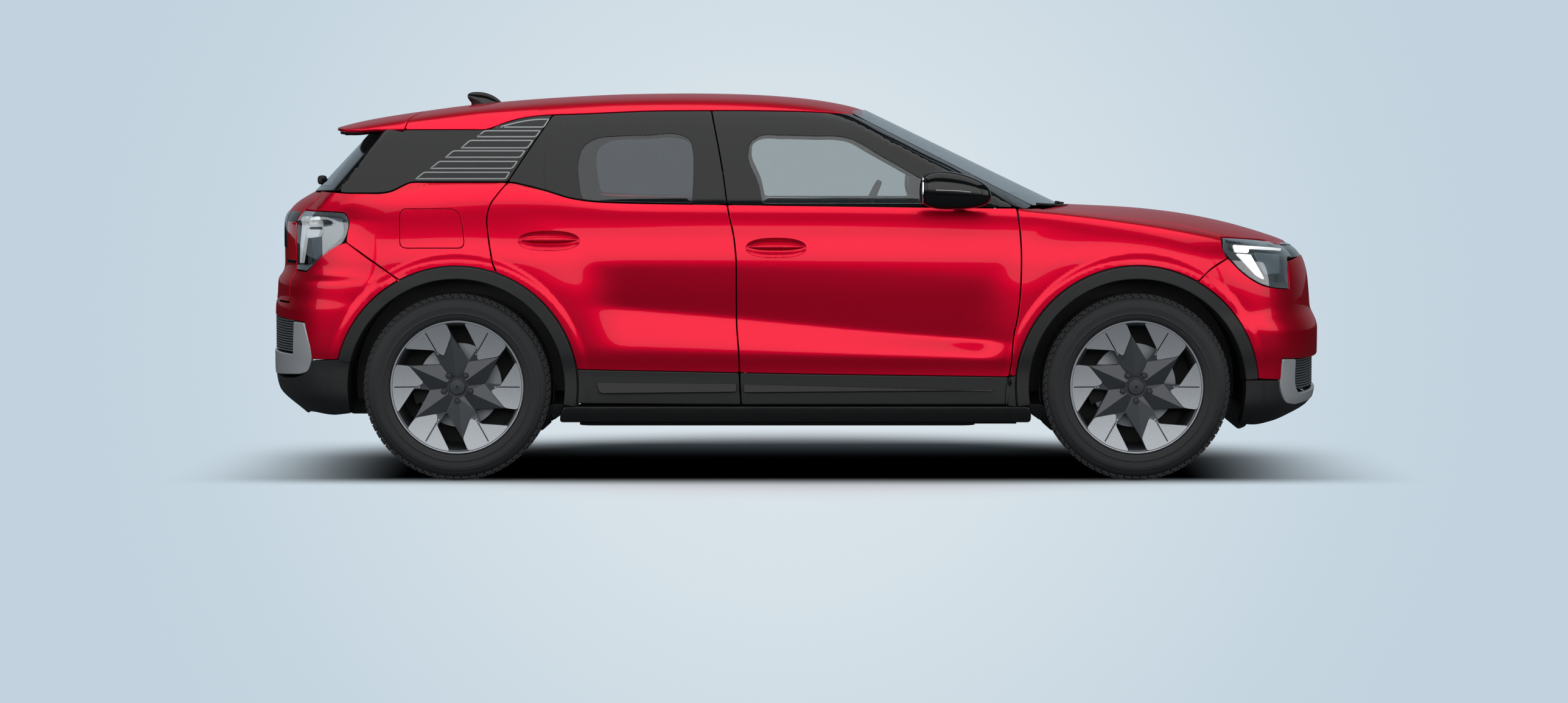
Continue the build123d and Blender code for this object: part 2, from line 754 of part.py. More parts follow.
with BuildPart() as sill_beams:
    for side in (1, -1):
        add(block(-888, 900, *sorted((side * 700, side * 812)), SILL_BEAM_FOOT, 304))
        add(block(-330, -230, *sorted((side * 700, side * 770)), 304, 1100))
        add(block(860, 920, *sorted((side * 700, side * 770)), 304, 1046))
save(sill_beams.part, "sill_and_pillar_beams")

# Floor, battery and what hangs below it.
FLOOR_LINE = [
    (940, 302), (-870, 302), (-910, 560), (-1950, 590), (-1950, 574), (-924, 544), (-884, 286),
    (956, 286), (956, 1040), (940, 1040),
]
with BuildPart() as floor_pan:
    with BuildSketch(Plane.XZ):
        with BuildLine():
            Polyline(*FLOOR_LINE, close=True)
        make_face()
    extrude(amount=698, both=True)
    add(block(-2300, -890, 548, 1000, 310, 1000), mode=Mode.SUBTRACT)
    add(block(-2300, -890, -1000, -548, 310, 1000), mode=Mode.SUBTRACT)
    add(block(900, 1100, 440, 1000, 200, 700), mode=Mode.SUBTRACT)
    add(block(900, 1100, -1000, -440, 200, 700), mode=Mode.SUBTRACT)
save(floor_pan.part, "floor_pan")

with BuildPart() as battery_pack:
    add(block(-900, 740, -650, 650, BATTERY_FOOT, BATTERY_HEAD))
    fillet(battery_pack.edges().filter_by(Axis.Z), 60)
save(battery_pack.part, "battery_pack")

with BuildPart() as front_subframe:
    with Locations((1380, 0, 262)):
        Box(300, 760, 66)
    with Locations((1380, 460, 262), (1380, -460, 262)):
        Box(120, 340, 34)
    with Locations((1550, 0, 250), (1206, 0, 250)):
        Box(70, 700, 40)
save(front_subframe.part, "front_subframe")

# Crash beams behind the bumpers, each with its boss for the towing eye.
with BuildPart() as crash_beams:
    for end, face in ((1, 2020), (-1, 1975)):
        with Locations((end * (face + 20), 0, 560)):
            Box(40, 1000, 80)
        with BuildSketch(Plane((end * (face + 20), -480, 560), x_dir=(0, 1, 0), z_dir=(end, 0, 0))):
            Circle(20)
        extrude(amount=TOW_FACE - face - 20)
save(crash_beams.part, "crash_beams")

with BuildPart() as drive_unit:
    with Locations((1390, 0, 480)):
        Box(420, 560, 330)
    fillet(drive_unit.edges(), 30)
save(drive_unit.part, "drive_unit")

with BuildPart() as bay_cover:
    with Locations((1400, 0, 890)):
        Box(820, 1240, 16)
    with Locations((1400, 0, 780)):
        Box(560, 700, 204)
save(bay_cover.part, "bay_cover")

DISC_RADIUS = 172
DISC_FACES = (745, 770)


def caliper(angle):
    """Left brake caliper over the disc, centred at an angle above straight ahead."""
    with BuildPart() as clamp:
        with BuildSketch(Plane.XZ.offset(-722)):
            Circle(192)
            Circle(118, mode=Mode.SUBTRACT)
            with BuildLine():
                Polyline(
                    (0, 0),
                    (400 * cos(radians(angle - 24)), 400 * sin(radians(angle - 24))),
                    (400 * cos(radians(angle + 24)), 400 * sin(radians(angle + 24))),
                    close=True,
                )
            make_face(mode=Mode.INTERSECT)
        extrude(amount=-74)
        with BuildSketch(Plane.XZ.offset(-DISC_FACES[0] + 4)):
            Circle(DISC_RADIUS + 6)
        extrude(amount=-(DISC_FACES[1] - DISC_FACES[0] + 8), mode=Mode.SUBTRACT)
    return clamp.part


def hub_carrier(reach, angle):
    """Left upright with its caliper, about the wheel's axis."""
    with BuildPart() as carrier:
        with BuildSketch(Plane.XZ.offset(-650)):
            Rectangle(110, 250)
            Circle(78)
        extrude(amount=-80)
        add(caliper(angle))
        with BuildSketch(Plane.XZ.offset(-722)):
            with Locations((95 * cos(radians(angle)), 95 * sin(radians(angle)))):
                Rectangle(150, 120)
        extrude(amount=reach)
    return carrier.part


front_carrier = hub_carrier(30, 180)
rear_carrier = hub_carrier(30, 180)
for side, word in ((1, "left"), (-1, "right")):
    with BuildPart() as knuckle:
        with Locations((FRONT_AXLE, 0, TYRE_RADIUS)):
            add(mirrored(front_carrier, side))
    save(knuckle.part, f"front_{word}_knuckle")

with BuildPart() as rear_axle:
    with Locations((REAR_AXLE, 0, TYRE_RADIUS)):
        add(mirrored(rear_carrier, 1))
        add(mirrored(rear_carrier, -1))
    with Locations((REAR_AXLE, 0, TYRE_RADIUS - 60)):
        Box(90, 1340, 90)
    with Locations((REAR_AXLE, 0, 300)):
        Box(360, 760, 60)
save(rear_axle.part, "rear_axle")

# Wheelhouse liners, each an arch with a ring wall on its inner side.
with BuildPart() as wheelhouse_liners:
    for axle, wall in ((FRONT_AXLE, 456), (REAR_AXLE, 552)):
        for side in (1, -1):
            with BuildSketch(Plane.XZ.offset(-side * wall)):
                with Locations((axle, TYRE_RADIUS)):
                    Circle(LINER_RADIUS)
                    Circle(LINER_RADIUS - 5, mode=Mode.SUBTRACT)
            extrude(amount=-side * (850 - wall))
            with BuildSketch(Plane.XZ.offset(-side * wall)):
                with Locations((axle, TYRE_RADIUS)):
                    Circle(LINER_RADIUS)
                    Circle(290, mode=Mode.SUBTRACT)
            extrude(amount=-side * 5)
    add(block(-2300, 2300, -1000, 1000, -200, 310), mode=Mode.SUBTRACT)
    add(body_envelope(48), mode=Mode.INTERSECT)
save(wheelhouse_liners.part, "wheelhouse_liners")

# Wheels: a tyre and a rim with its disc at each corner.
TYRE_SECTION = [(251, 712), (272, 708), (284, 698), (320, 687.5), (355, 692), (375, 712), (382, 748)]
OPENING = [(236, 84), (236, 99.4), (212, 95.8), (109, 66.4), (176, 62.4)]


def polar(points):
    """Plane points from (radius, angle) pairs."""
    return [(r * cos(radians(a)), r * sin(radians(a))) for r, a in points]


def turned(profile):
    """Left wheel part turned about the axle from a (radius, across) outline."""
    with BuildPart() as body:
        with BuildSketch(Plane.YZ):
            with BuildLine():
                Polyline(*[(across, radius) for radius, across in profile], close=True)
            make_face()
        revolve(axis=Axis.Y)
    return body.part


with BuildPart() as tyre:
    add(turned(TYRE_SECTION + [(r, 2 * TRACK_HALF - y) for r, y in TYRE_SECTION[::-1]]))
RIM_SECTION = [(238, 716), (250, 716), (250, 710), (271, 704), (271, 698), (238, 698)]
RIM_FACE = [
    (238, 900), (250, 900), (271, 906), (271, 913), (258, 913), (238, 908), (150, 900), (60, 880),
    (0, 880), (0, 850), (70, 850), (150, 872), (225, 884), (238, 886),
]
DISC_SECTION = [(0, 738), (DISC_RADIUS, DISC_FACES[0]), (DISC_RADIUS, DISC_FACES[1]), (70, DISC_FACES[1])]
DISC_SECTION += [(70, 860), (0, 860)]
with BuildPart() as rim:
    add(turned(RIM_SECTION))
    add(turned([(238, 700), (250, 700), (250, 902), (238, 902)]))
    add(turned(RIM_FACE))
    for sixth in range(6):
        with BuildSketch(Plane.XZ.offset(-820)):
            with BuildLine():
                Polyline(*polar([(r, a + 60 * sixth) for r, a in OPENING]), close=True)
            make_face()
        extrude(amount=-100, mode=Mode.SUBTRACT)
    add(turned(DISC_SECTION))
for axle, end in ((FRONT_AXLE, "front"), (REAR_AXLE, "rear")):
    for side, word in ((1, "left"), (-1, "right")):
        with BuildPart() as placed_tyre:
            with Locations((axle, 0, TYRE_RADIUS)):
                add(mirrored(tyre.part, side))
        save(placed_tyre.part, f"{end}_{word}_tyre")
        with BuildPart() as placed_rim:
            with Locations((axle, 0, TYRE_RADIUS)):
                add(mirrored(rim.part, side))
        save(placed_rim.part, f"{end}_{word}_rim")

# Inside the cabin.
WHEEL_TILT = 25
column_way = (-cos(radians(WHEEL_TILT)), 0, sin(radians(WHEEL_TILT)))
column = Plane(origin=(292, 370, 1042), x_dir=(0, 1, 0), z_dir=column_way)
DASH_SECTION = [(936, 800), (936, 1034), (880, 1066), (700, 1060), (575, 1020), (560, 900), (640, 800)]
with BuildPart() as dashboard:
    with BuildSketch(Plane.XZ):
        with BuildLine():
            Polyline(*DASH_SECTION, close=True)
        make_face()
    extrude(amount=690, both=True)
    add(block(-120, 640, -130, 130, 320, 640))
    add(block(560, 936, -130, 130, 640, 810))
    with BuildSketch(column.offset(-18)):
        Circle(30)
    extrude(amount=-330)
save(dashboard.part, "dashboard")

SEAT = [
    (380, 330), (390, 470), (360, 520), (40, 490), (-110, 560), (-250, 1060), (-248, 1250),
    (-350, 1262), (-375, 1080), (-240, 480), (-180, 330),
]
with BuildPart() as front_seats:
    with BuildSketch(Plane.XZ):
        with BuildLine():
            Polyline(*SEAT, close=True)
        make_face()
    extrude(amount=640, both=True)
    add(block(-600, 600, -150, 150, 300, 1400), mode=Mode.SUBTRACT)
save(front_seats.part, "front_seats")

BENCH = [
    (-560, 320), (-550, 520), (-900, 500), (-1010, 640), (-1130, 1090), (-1230, 1100),
    (-1120, 580), (-905, 575), (-868, 320),
]
with BuildPart() as rear_seat:
    with BuildSketch(Plane.XZ):
        with BuildLine():
            Polyline(*BENCH, close=True)
        make_face()
    extrude(amount=640, both=True)
    add(block(-1300, -860, 540, 700, 300, 640), mode=Mode.SUBTRACT)
    add(block(-1300, -860, -700, -540, 300, 640), mode=Mode.SUBTRACT)
save(rear_seat.part, "rear_seat")

with BuildPart() as steering_wheel:
    with BuildSketch(column.offset(-13)):
        Circle(186)
        Circle(158, mode=Mode.SUBTRACT)
    extrude(amount=26)
    with BuildSketch(column.offset(-13)):
        Circle(62)
        with Locations((0, 0)):
            Rectangle(336, 34)
        with Locations((0, -86)):
            Rectangle(40, 172)
    extrude(amount=20)
save(steering_wheel.part, "steering_wheel")
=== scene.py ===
from math import atan2, cos, degrees, hypot, pi, radians, sin

import bpy
import numpy as np
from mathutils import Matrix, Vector
from mathutils.geometry import delaunay_2d_cdt


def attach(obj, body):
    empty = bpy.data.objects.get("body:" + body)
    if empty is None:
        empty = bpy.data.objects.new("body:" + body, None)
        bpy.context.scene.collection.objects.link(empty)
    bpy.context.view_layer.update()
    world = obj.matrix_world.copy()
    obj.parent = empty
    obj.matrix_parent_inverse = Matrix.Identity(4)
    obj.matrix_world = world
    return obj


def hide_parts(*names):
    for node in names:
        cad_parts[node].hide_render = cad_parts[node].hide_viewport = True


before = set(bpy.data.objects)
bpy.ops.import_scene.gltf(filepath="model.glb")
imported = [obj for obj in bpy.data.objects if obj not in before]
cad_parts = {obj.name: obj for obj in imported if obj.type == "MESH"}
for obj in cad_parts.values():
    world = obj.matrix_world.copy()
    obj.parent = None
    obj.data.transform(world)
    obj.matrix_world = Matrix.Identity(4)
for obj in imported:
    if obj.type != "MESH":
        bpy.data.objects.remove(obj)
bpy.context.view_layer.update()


# All places below are in millimetres in the frame: x forward, y to the left, z up. The eye is where the
# camera stands. The sight plane is the upright plane of the right wheels' faces: side outlines lie in it.
MM = 0.001
AXLE = 1383.5
WHEEL_HEIGHT = 382.0
TRACK = 805.0
EYE = np.array([-52.0, -16830.0, 1460.0])
SIGHT_PLANE = -930.0
FRONT_WHEEL = (AXLE, WHEEL_HEIGHT)
REAR_WHEEL = (-AXLE, WHEEL_HEIGHT)


def curve(knots, soft=18.0):
    """Smooth single-valued curve through (place, value) pairs; soft is how far corners are rounded."""
    place, value = np.array(sorted(knots), float).T
    table = np.arange(place[0] - 400.0, place[-1] + 402.0, 2.0)
    width = np.diff(place)
    rise = np.diff(value) / width
    same_way = rise[:-1] * rise[1:] > 0
    inside = np.where(same_way, 2 * rise[:-1] * rise[1:] / np.where(same_way, rise[:-1] + rise[1:], 1.0), 0.0)
    slope = np.concatenate([rise[:1], inside, rise[-1:]])
    i = np.clip(np.searchsorted(place, table) - 1, 0, len(width) - 1)
    t = (table - place[i]) / width[i]
    fitted = (
        (1 + 2 * t) * (1 - t) ** 2 * value[i]
        + t * (1 - t) ** 2 * width[i] * slope[i]
        + t * t * (3 - 2 * t) * value[i + 1]
        + t * t * (t - 1) * width[i] * slope[i + 1]
    )
    fitted = np.where(table < place[0], value[0] + slope[0] * (table - place[0]), fitted)
    fitted = np.where(table > place[-1], value[-1] + slope[-1] * (table - place[-1]), fitted)
    reach = np.arange(-3 * soft, 3 * soft + 1, 2.0)
    weight = np.exp(-0.5 * (reach / soft) ** 2)
    weight /= weight.sum()
    pad = len(reach) // 2
    spread = np.pad(fitted, pad, mode="reflect", reflect_type="odd")
    smoothed = np.convolve(spread, weight, mode="valid")[: len(table)]
    return lambda q: np.interp(q, table, smoothed)


def unit(v):
    """Vectors of length one."""
    return v / np.maximum(np.linalg.norm(v, axis=1), 1e-9)[:, None]


def smooth_max(a, b, k):
    """Larger of two fields with the corner between them rounded."""
    return 0.5 * (a + b + np.sqrt((a - b) ** 2 + k * k))


def smooth_min(a, b, k):
    """Smaller of two fields with the corner between them rounded."""
    return 0.5 * (a + b - np.sqrt((a - b) ** 2 + k * k))


def softened(q, power):
    """A power that keeps the sign."""
    return np.sign(q) * np.abs(q) ** power


def fade(q, start, end):
    """Goes smoothly from 0 at start to 1 at end."""
    t = np.clip((q - start) / (end - start), 0.0, 1.0)
    return t * t * (3 - 2 * t)


# Shape of the body: half width by height, ends by height, deck and roof by station.
HALF_WIDTH = curve(
    [
        (200, 850), (232, 870), (312, 897), (440, 900), (525, 914), (600, 919), (700, 923), (800, 926),
        (880, 926), (960, 921), (1040, 908), (1113, 889), (1160, 868), (1200, 840), (1240, 800),
    ],
    14,
)
NOSE = curve(
    [
        (225, 2100), (250, 2150), (275, 2190), (310, 2214), (380, 2224), (465, 2230), (600, 2231),
        (640, 2219), (680, 2199), (740, 2194), (820, 2186), (880, 2171), (920, 2150), (960, 2108),
        (1000, 2050), (1100, 1900),
    ],
    10,
)
TAIL = curve(
    [
        (225, 2090), (260, 2130), (300, 2180), (336, 2214), (380, 2226), (434, 2232), (600, 2230),
        (694, 2227), (730, 2220), (802, 2216), (838, 2192), (870, 2187), (1000, 2188), (1060, 2184),
        (1090, 2165), (1120, 2138), (1150, 2094), (1180, 2030), (1240, 1880),
    ],
    8,
)
DECK = curve(
    [
        (-2200, 1150), (-2060, 1166), (-1950, 1180), (-1800, 1196), (-1600, 1222), (-1400, 1228),
        (-1200, 1222), (-1000, 1190), (-850, 1156), (-700, 1138), (-300, 1130), (300, 1126), (800, 1120),
        (1000, 1114), (1113, 1108), (1400, 1097), (1600, 1078), (1800, 1043), (2000, 988), (2100, 954),
        (2200, 912),
    ],
    40,
)
DECK_DROP = curve(
    [(-2200, 6), (600, 8), (900, 12), (1113, 20), (1400, 48), (1700, 74), (2000, 90), (2200, 100)], 60,
)
CABIN_WIDTH = curve(
    [(1000, 905), (1113, 877), (1200, 838), (1300, 790), (1400, 733), (1500, 660), (1560, 596), (1620, 520)],
    16,
)
CABIN_TAPER = curve(
    [
        (-2150, 0.85), (-1950, 0.88), (-1750, 0.908), (-1400, 0.948), (-900, 0.985), (-300, 1.0), (150, 1.0),
        (700, 0.99), (1200, 0.985),
    ],
    80,
)
CROWN = curve(
    [
        (-2100, 1380), (-1952, 1437), (-1831, 1468), (-1692, 1492), (-1582, 1508), (-1402, 1532),
        (-1161, 1555), (-952, 1569), (-700, 1580), (-450, 1583), (-250, 1580), (-100, 1573), (51, 1560),
        (150, 1546), (290, 1518), (500, 1465), (900, 1350),
    ],
    45,
)
SCOOP_TOP = curve([(-1000, 882), (-700, 880), (-300, 878), (0, 870), (400, 856), (700, 836), (1000, 800)], 60)
SCOOP_LOW = curve([(-1000, 728), (-650, 700), (-250, 665), (0, 640), (300, 610), (700, 578), (1000, 556)], 60)
SCOOP_END = curve([(-1000, 560), (-780, 541), (-236, 522), (300, 508), (700, 498), (1000, 490)], 60)
SCOOP_DEPTH = 27.0
WAIST = 1050.0


def body_half_width(x, z):
    """Half width of the lower body, with the scoop along the doors and the swelling round the arches."""
    top, low, end = SCOOP_TOP(x), SCOOP_LOW(x), SCOOP_END(x)
    valley = smooth_min((top - z) / (top - low), (z - end) / (low - end), 0.16)
    valley = smooth_max(valley, 0.0, 0.10) - 0.05
    share = fade(x, -900, -660) * (1 - fade(x, 720, 930))
    front = np.hypot(x - AXLE, z - WHEEL_HEIGHT)
    rear = np.hypot(x + AXLE, z - WHEEL_HEIGHT)
    near = np.minimum(front, rear)
    swell = 8 * (1 - fade(near, 560, 760)) + 6 * (1 - fade(near, 516, 548))
    return HALF_WIDTH(z) - SCOOP_DEPTH * valley * share + swell * (z > 200)


def lower_body(x, y, z):
    """Negative inside the body below the windows."""
    width = body_half_width(x, z)
    reach = np.where(x > 0, NOSE(z), TAIL(z)) - 12
    plan = (np.abs(y / width) ** 2.2 + np.abs(x / reach) ** 10) ** (1 / 2.2)
    deck = z - DECK(x) + DECK_DROP(x) * np.abs(y / 900) ** 2.2
    return smooth_max(width * (plan - 1), deck, 26)


def cabin_sides(x, y, z):
    """Negative between the sides of the cabin."""
    return 0.9 * (np.abs(y) - CABIN_WIDTH(z) * CABIN_TAPER(x))


def roof_field(x, y, z):
    """Negative under the roof surface."""
    return z - CROWN(x) + 22 * np.abs(y / 545) ** 2.4


def screen_field(x, y, z):
    """Negative behind the windscreen."""
    return 0.435 * (x - 1120 + 2.07 * (z - 1114) + 190 * (y / 800) ** 2)


def tail_field(x, y, z):
    """Negative ahead of the tailgate glass."""
    return 0.728 * (-2052 + 0.9415 * (z - 1164) + 120 * (y / 700) ** 2 - x)


def cabin_bar(x, y, z):
    """Negative under the roof and between the cabin's sides, before the screens cut the ends."""
    return smooth_max(cabin_sides(x, y, z), roof_field(x, y, z), 30)


def cabin(x, y, z):
    """Negative inside the cabin top, which starts at the waist."""
    ahead = smooth_max(cabin_bar(x, y, z), screen_field(x, y, z), 14)
    return smooth_max(smooth_max(ahead, tail_field(x, y, z), 10), WAIST - z, 10)


def whole_body(x, y, z):
    """Negative inside the whole painted and glazed body."""
    return smooth_min(lower_body(x, y, z), cabin(x, y, z), 10)


# Where the rays that find the surface start and how far they look, and the rods that the pieces are laid
# out on: the roof's and the wings' lie along the car, the nose's and the tail's stand upright.
SIDE_LEAD, SIDE_REACH = 130.0, 900.0
ABOVE_ROOF, TOP_REACH = 1650.0, 1000.0
RAY_START, RAY_REACH = 1300.0, 1250.0
ROOF_AXIS, WING_AXIS, BAR_RADIUS = 900.0, 600.0, 600.0
END_AXIS, END_RADIUS = 1300.0, 900.0


def cast(field, start, way, reach, steps=60):
    """First place where rays from outside meet the field's surface, and the normal there."""
    best = field(*start.T)
    low = np.zeros(len(start))
    nearest = np.zeros(len(start))
    found = best < 0
    step = reach / steps
    for k in range(1, steps + 1):
        value = field(*(start + way * (k * step)).T)
        hit = (value < 0) & ~found
        low[hit] = (k - 1) * step
        found |= hit
        closer = (value < best) & ~found
        nearest[closer] = k * step
        best[closer] = value[closer]
    high = low + step
    for _ in range(16):
        middle = 0.5 * (low + high)
        inside = field(*(start + way * middle[:, None]).T) < 0
        high = np.where(inside, middle, high)
        low = np.where(inside, low, middle)
    depth = np.where(found, 0.5 * (low + high), nearest)
    points = start + way * depth[:, None]
    return points, normals_of(field, points)


def normals_of(field, points, e=4.0):
    """Outward normals of a field's surface."""
    slopes = []
    for axis in range(3):
        shift = np.zeros(3)
        shift[axis] = e
        slopes.append(field(*(points + shift).T) - field(*(points - shift).T))
    return unit(np.array(slopes).T)


def columns(*values):
    """Array with the given columns; a single number fills its column."""
    return np.column_stack(np.broadcast_arrays(*values))


def split(uv):
    """First and second coordinate of each pair."""
    return np.asarray(uv, float).reshape(-1, 2).T


def sight(uv):
    """Places in the sight plane, and how the eye's lines run on through them per millimetre of depth."""
    x, z = split(uv)
    at = columns(x, SIGHT_PLANE, z)
    return at, (at - EYE) / (SIGHT_PLANE - EYE[1])


def from_side(field=whole_body):
    """Places on the right side by (x, z) as the eye sees them in the sight plane."""
    def place(uv):
        at, way = sight(uv)
        return cast(field, at - SIDE_LEAD * way, way, SIDE_REACH)
    return place


def from_above(uv):
    """Places on the top by (x, y)."""
    x, y = split(uv)
    return cast(whole_body, columns(x, y, ABOVE_ROOF), columns(0 * x, 0, -1), TOP_REACH)


def round_bar(axis, field=whole_body):
    """Places round a line along the car at one height, by (x, arc); arc is in millimetres, left positive."""
    def place(uv):
        x, along_arc = split(uv)
        turn = along_arc / BAR_RADIUS
        at = columns(x, RAY_START * np.sin(turn), axis + RAY_START * np.cos(turn))
        return cast(field, at, columns(0, -np.sin(turn), -np.cos(turn)), RAY_REACH)
    return place


def bar_arc(points, axis):
    """Turns places on the surface into round_bar coordinates."""
    x, y, z = points.T
    return columns(x, BAR_RADIUS * np.arctan2(y, z - axis))


def seen(points):
    """Where the eye sees places of the right side, in the sight plane."""
    share = (SIGHT_PLANE - EYE[1]) / (points[:, 1] - EYE[1])
    return (EYE + (points - EYE) * share[:, None])[:, ::2]


def round_end(end):
    """Places round the nose (end 1) or tail (end -1) by (arc, z); arc is in millimetres, left positive."""
    def place(uv):
        along_arc, z = split(uv)
        turn = along_arc / END_RADIUS
        way = columns(-end * np.cos(turn), -np.sin(turn), 0)
        return cast(whole_body, columns(end * END_AXIS, 0, z) - RAY_START * way, way, RAY_REACH)
    return place


def end_arc(points, end):
    """Turns places on the surface into round_end coordinates."""
    x, y, z = points.T
    return columns(END_RADIUS * np.arctan2(y, end * x - END_AXIS), z)


def flowing(points, step=8.0):
    """Evenly spaced points on a smooth curve through the given ones."""
    p = np.array(points, float)
    if len(p) > 2:
        before = np.vstack([2 * p[0] - p[1], p[:-1]])
        after = np.vstack([p[1:], 2 * p[-1] - p[-2]])
        chord = np.linalg.norm(np.diff(p, axis=0), axis=1)
        left = np.concatenate([chord[:1], chord])[:, None]
        right = np.concatenate([chord, chord[-1:]])[:, None]
        tangent = ((p - before) / left * right + (after - p) / right * left) / (left + right)
        rows = []
        for i in range(len(p) - 1):
            t = np.linspace(0, 1, max(3, int(chord[i] / 3)), endpoint=False)[:, None]
            rows.append(
                (1 + 2 * t) * (1 - t) ** 2 * p[i] + t * (1 - t) ** 2 * chord[i] * tangent[i]
                + t * t * (3 - 2 * t) * p[i + 1] + t * t * (t - 1) * chord[i] * tangent[i + 1]
            )
        p = np.vstack(rows + [p[-1:]])
    length = np.concatenate([[0], np.cumsum(np.linalg.norm(np.diff(p, axis=0), axis=1))])
    count = max(1, int(round(length[-1] / step)))
    stops = np.linspace(0, length[-1], count + 1)
    return columns(*[np.interp(stops, length, row) for row in p.T])


def outline(*runs, corner=8.0, step=8.0):
    """Closed outline from smooth runs; where two runs meet, the corner is rounded."""
    dense = [flowing(run, step) for run in runs]
    ends = [run[-1] for run in dense]
    bend = np.linspace(0, 1, 6)[1:-1, None]
    result = []

    def rounded(start, corner_point, finish):
        """Points on the bend between two runs."""
        return (1 - bend) ** 2 * start + 2 * bend * (1 - bend) * corner_point + bend * bend * finish

    for i, run in enumerate(dense):
        first, last = ends[i - 1], ends[i]
        radius = min(corner, 0.4 * np.linalg.norm(last - first))
        keep = (np.linalg.norm(run - first, axis=1) > radius) & (np.linalg.norm(run - last, axis=1) > radius)
        run = run[keep] if keep.any() else run.mean(0, keepdims=True)
        if result:
            result.append(rounded(result[-1][-1], first, run[0]))
        result.append(run)
    result.append(rounded(result[-1][-1], ends[-1], result[0][0]))
    return np.vstack(result)


def straight(points):
    """Straight runs from each point to the next."""
    return [points[i:i + 2] for i in range(len(points) - 1)]


def linked(first, *others):
    """Runs for an outline, where each one after the first starts at the end of the one before it."""
    runs = [list(first)]
    for run in others:
        runs.append([runs[-1][-1], *run])
    return runs


def polygon(points, corner=8.0, step=8.0):
    """Closed outline with straight sides and rounded corners."""
    return outline(*straight([*points, points[0]]), corner=corner, step=step)


def arc(centre, radius, start, end, step=8.0):
    """Points on a circle from one angle to another, in degrees."""
    count = max(3, int(abs(radians(end - start)) * radius / step))
    angles = np.radians(np.linspace(start, end, count + 1))
    return columns(centre[0] + radius * np.cos(angles), centre[1] + radius * np.sin(angles))


def area_of(loop):
    """Signed area of a closed loop."""
    x, y = loop.T
    return 0.5 * np.sum(x * np.roll(y, -1) - np.roll(x, -1) * y)


def inset(loop, distance):
    """The loop moved to its left by distance."""
    ahead = np.roll(loop, -1, 0) - loop
    ahead /= np.maximum(np.linalg.norm(ahead, axis=1), 1e-6)[:, None]
    behind = np.roll(ahead, 1, 0)
    mean = ahead + behind
    mean /= np.maximum(np.linalg.norm(mean, axis=1), 1e-6)[:, None]
    left = columns(-mean[:, 1], mean[:, 0])
    share = np.clip(np.sum(mean * ahead, axis=1), 0.6, 1.0)
    return loop + left * (distance / share)[:, None]


def shrunk(loop, distance):
    """The loop made smaller all round, or larger by a negative distance."""
    return inset(loop, distance if area_of(loop) > 0 else -distance)


def inside_loops(points, loops):
    """Which points lie inside an outline and outside its holes."""
    odd = np.zeros(len(points), bool)
    for loop in loops:
        x0, y0 = loop.T
        x1, y1 = np.roll(loop, -1, 0).T
        for i in range(0, len(points), 4000):
            px, py = points[i:i + 4000, 0, None], points[i:i + 4000, 1, None]
            crosses = (y0 > py) != (y1 > py)
            meet = x0 + (py - y0) * (x1 - x0) / np.where(y1 == y0, 1e-9, y1 - y0)
            odd[i:i + 4000] ^= (np.sum(crosses & (px < meet), axis=1) % 2).astype(bool)
    return odd


def fill(loops, grid):
    """Points and triangles that fill the loops; the loops' own points come first."""
    border = np.vstack(loops)
    low, high = border.min(0), border.max(0)
    rows = np.arange(low[1] + 0.5 * grid, high[1], grid * 0.87)
    inner = []
    for k, level in enumerate(rows):
        across = np.arange(low[0] + grid * (0.5 + 0.5 * (k % 2)), high[0], grid)
        inner.append(columns(across, level))
    inner = np.vstack(inner) if inner else np.zeros((0, 2))
    inner = inner[inside_loops(inner, loops)] if len(inner) else inner
    if len(inner):
        clear = np.full(len(inner), np.inf)
        for i in range(0, len(border), 200):
            gap = np.linalg.norm(inner[:, None] - border[None, i:i + 200], axis=2).min(1)
            clear = np.minimum(clear, gap)
        inner = inner[clear > 0.55 * grid]
    points = np.vstack([border, inner])
    edges, start = [], 0
    for loop in loops:
        count = len(loop)
        edges += [(start + i, start + (i + 1) % count) for i in range(count)]
        start += count
    found = delaunay_2d_cdt([Vector(p) for p in points], edges, [], 0, 1e-5)
    source = [ids[0] if ids else -1 for ids in found[3]]
    faces = np.array([[source[i] for i in face] for face in found[2]])
    faces = faces[(faces >= 0).all(1)]
    middle = points[faces].mean(1)
    faces = faces[inside_loops(middle, loops)]
    a, b, c = points[faces[:, 0]], points[faces[:, 1]], points[faces[:, 2]]
    turn = (b[:, 0] - a[:, 0]) * (c[:, 1] - a[:, 1]) - (b[:, 1] - a[:, 1]) * (c[:, 0] - a[:, 0])
    faces = faces[np.abs(turn) > 1e-6]
    turn = turn[np.abs(turn) > 1e-6]
    faces[turn < 0] = faces[turn < 0][:, ::-1]
    return points, faces


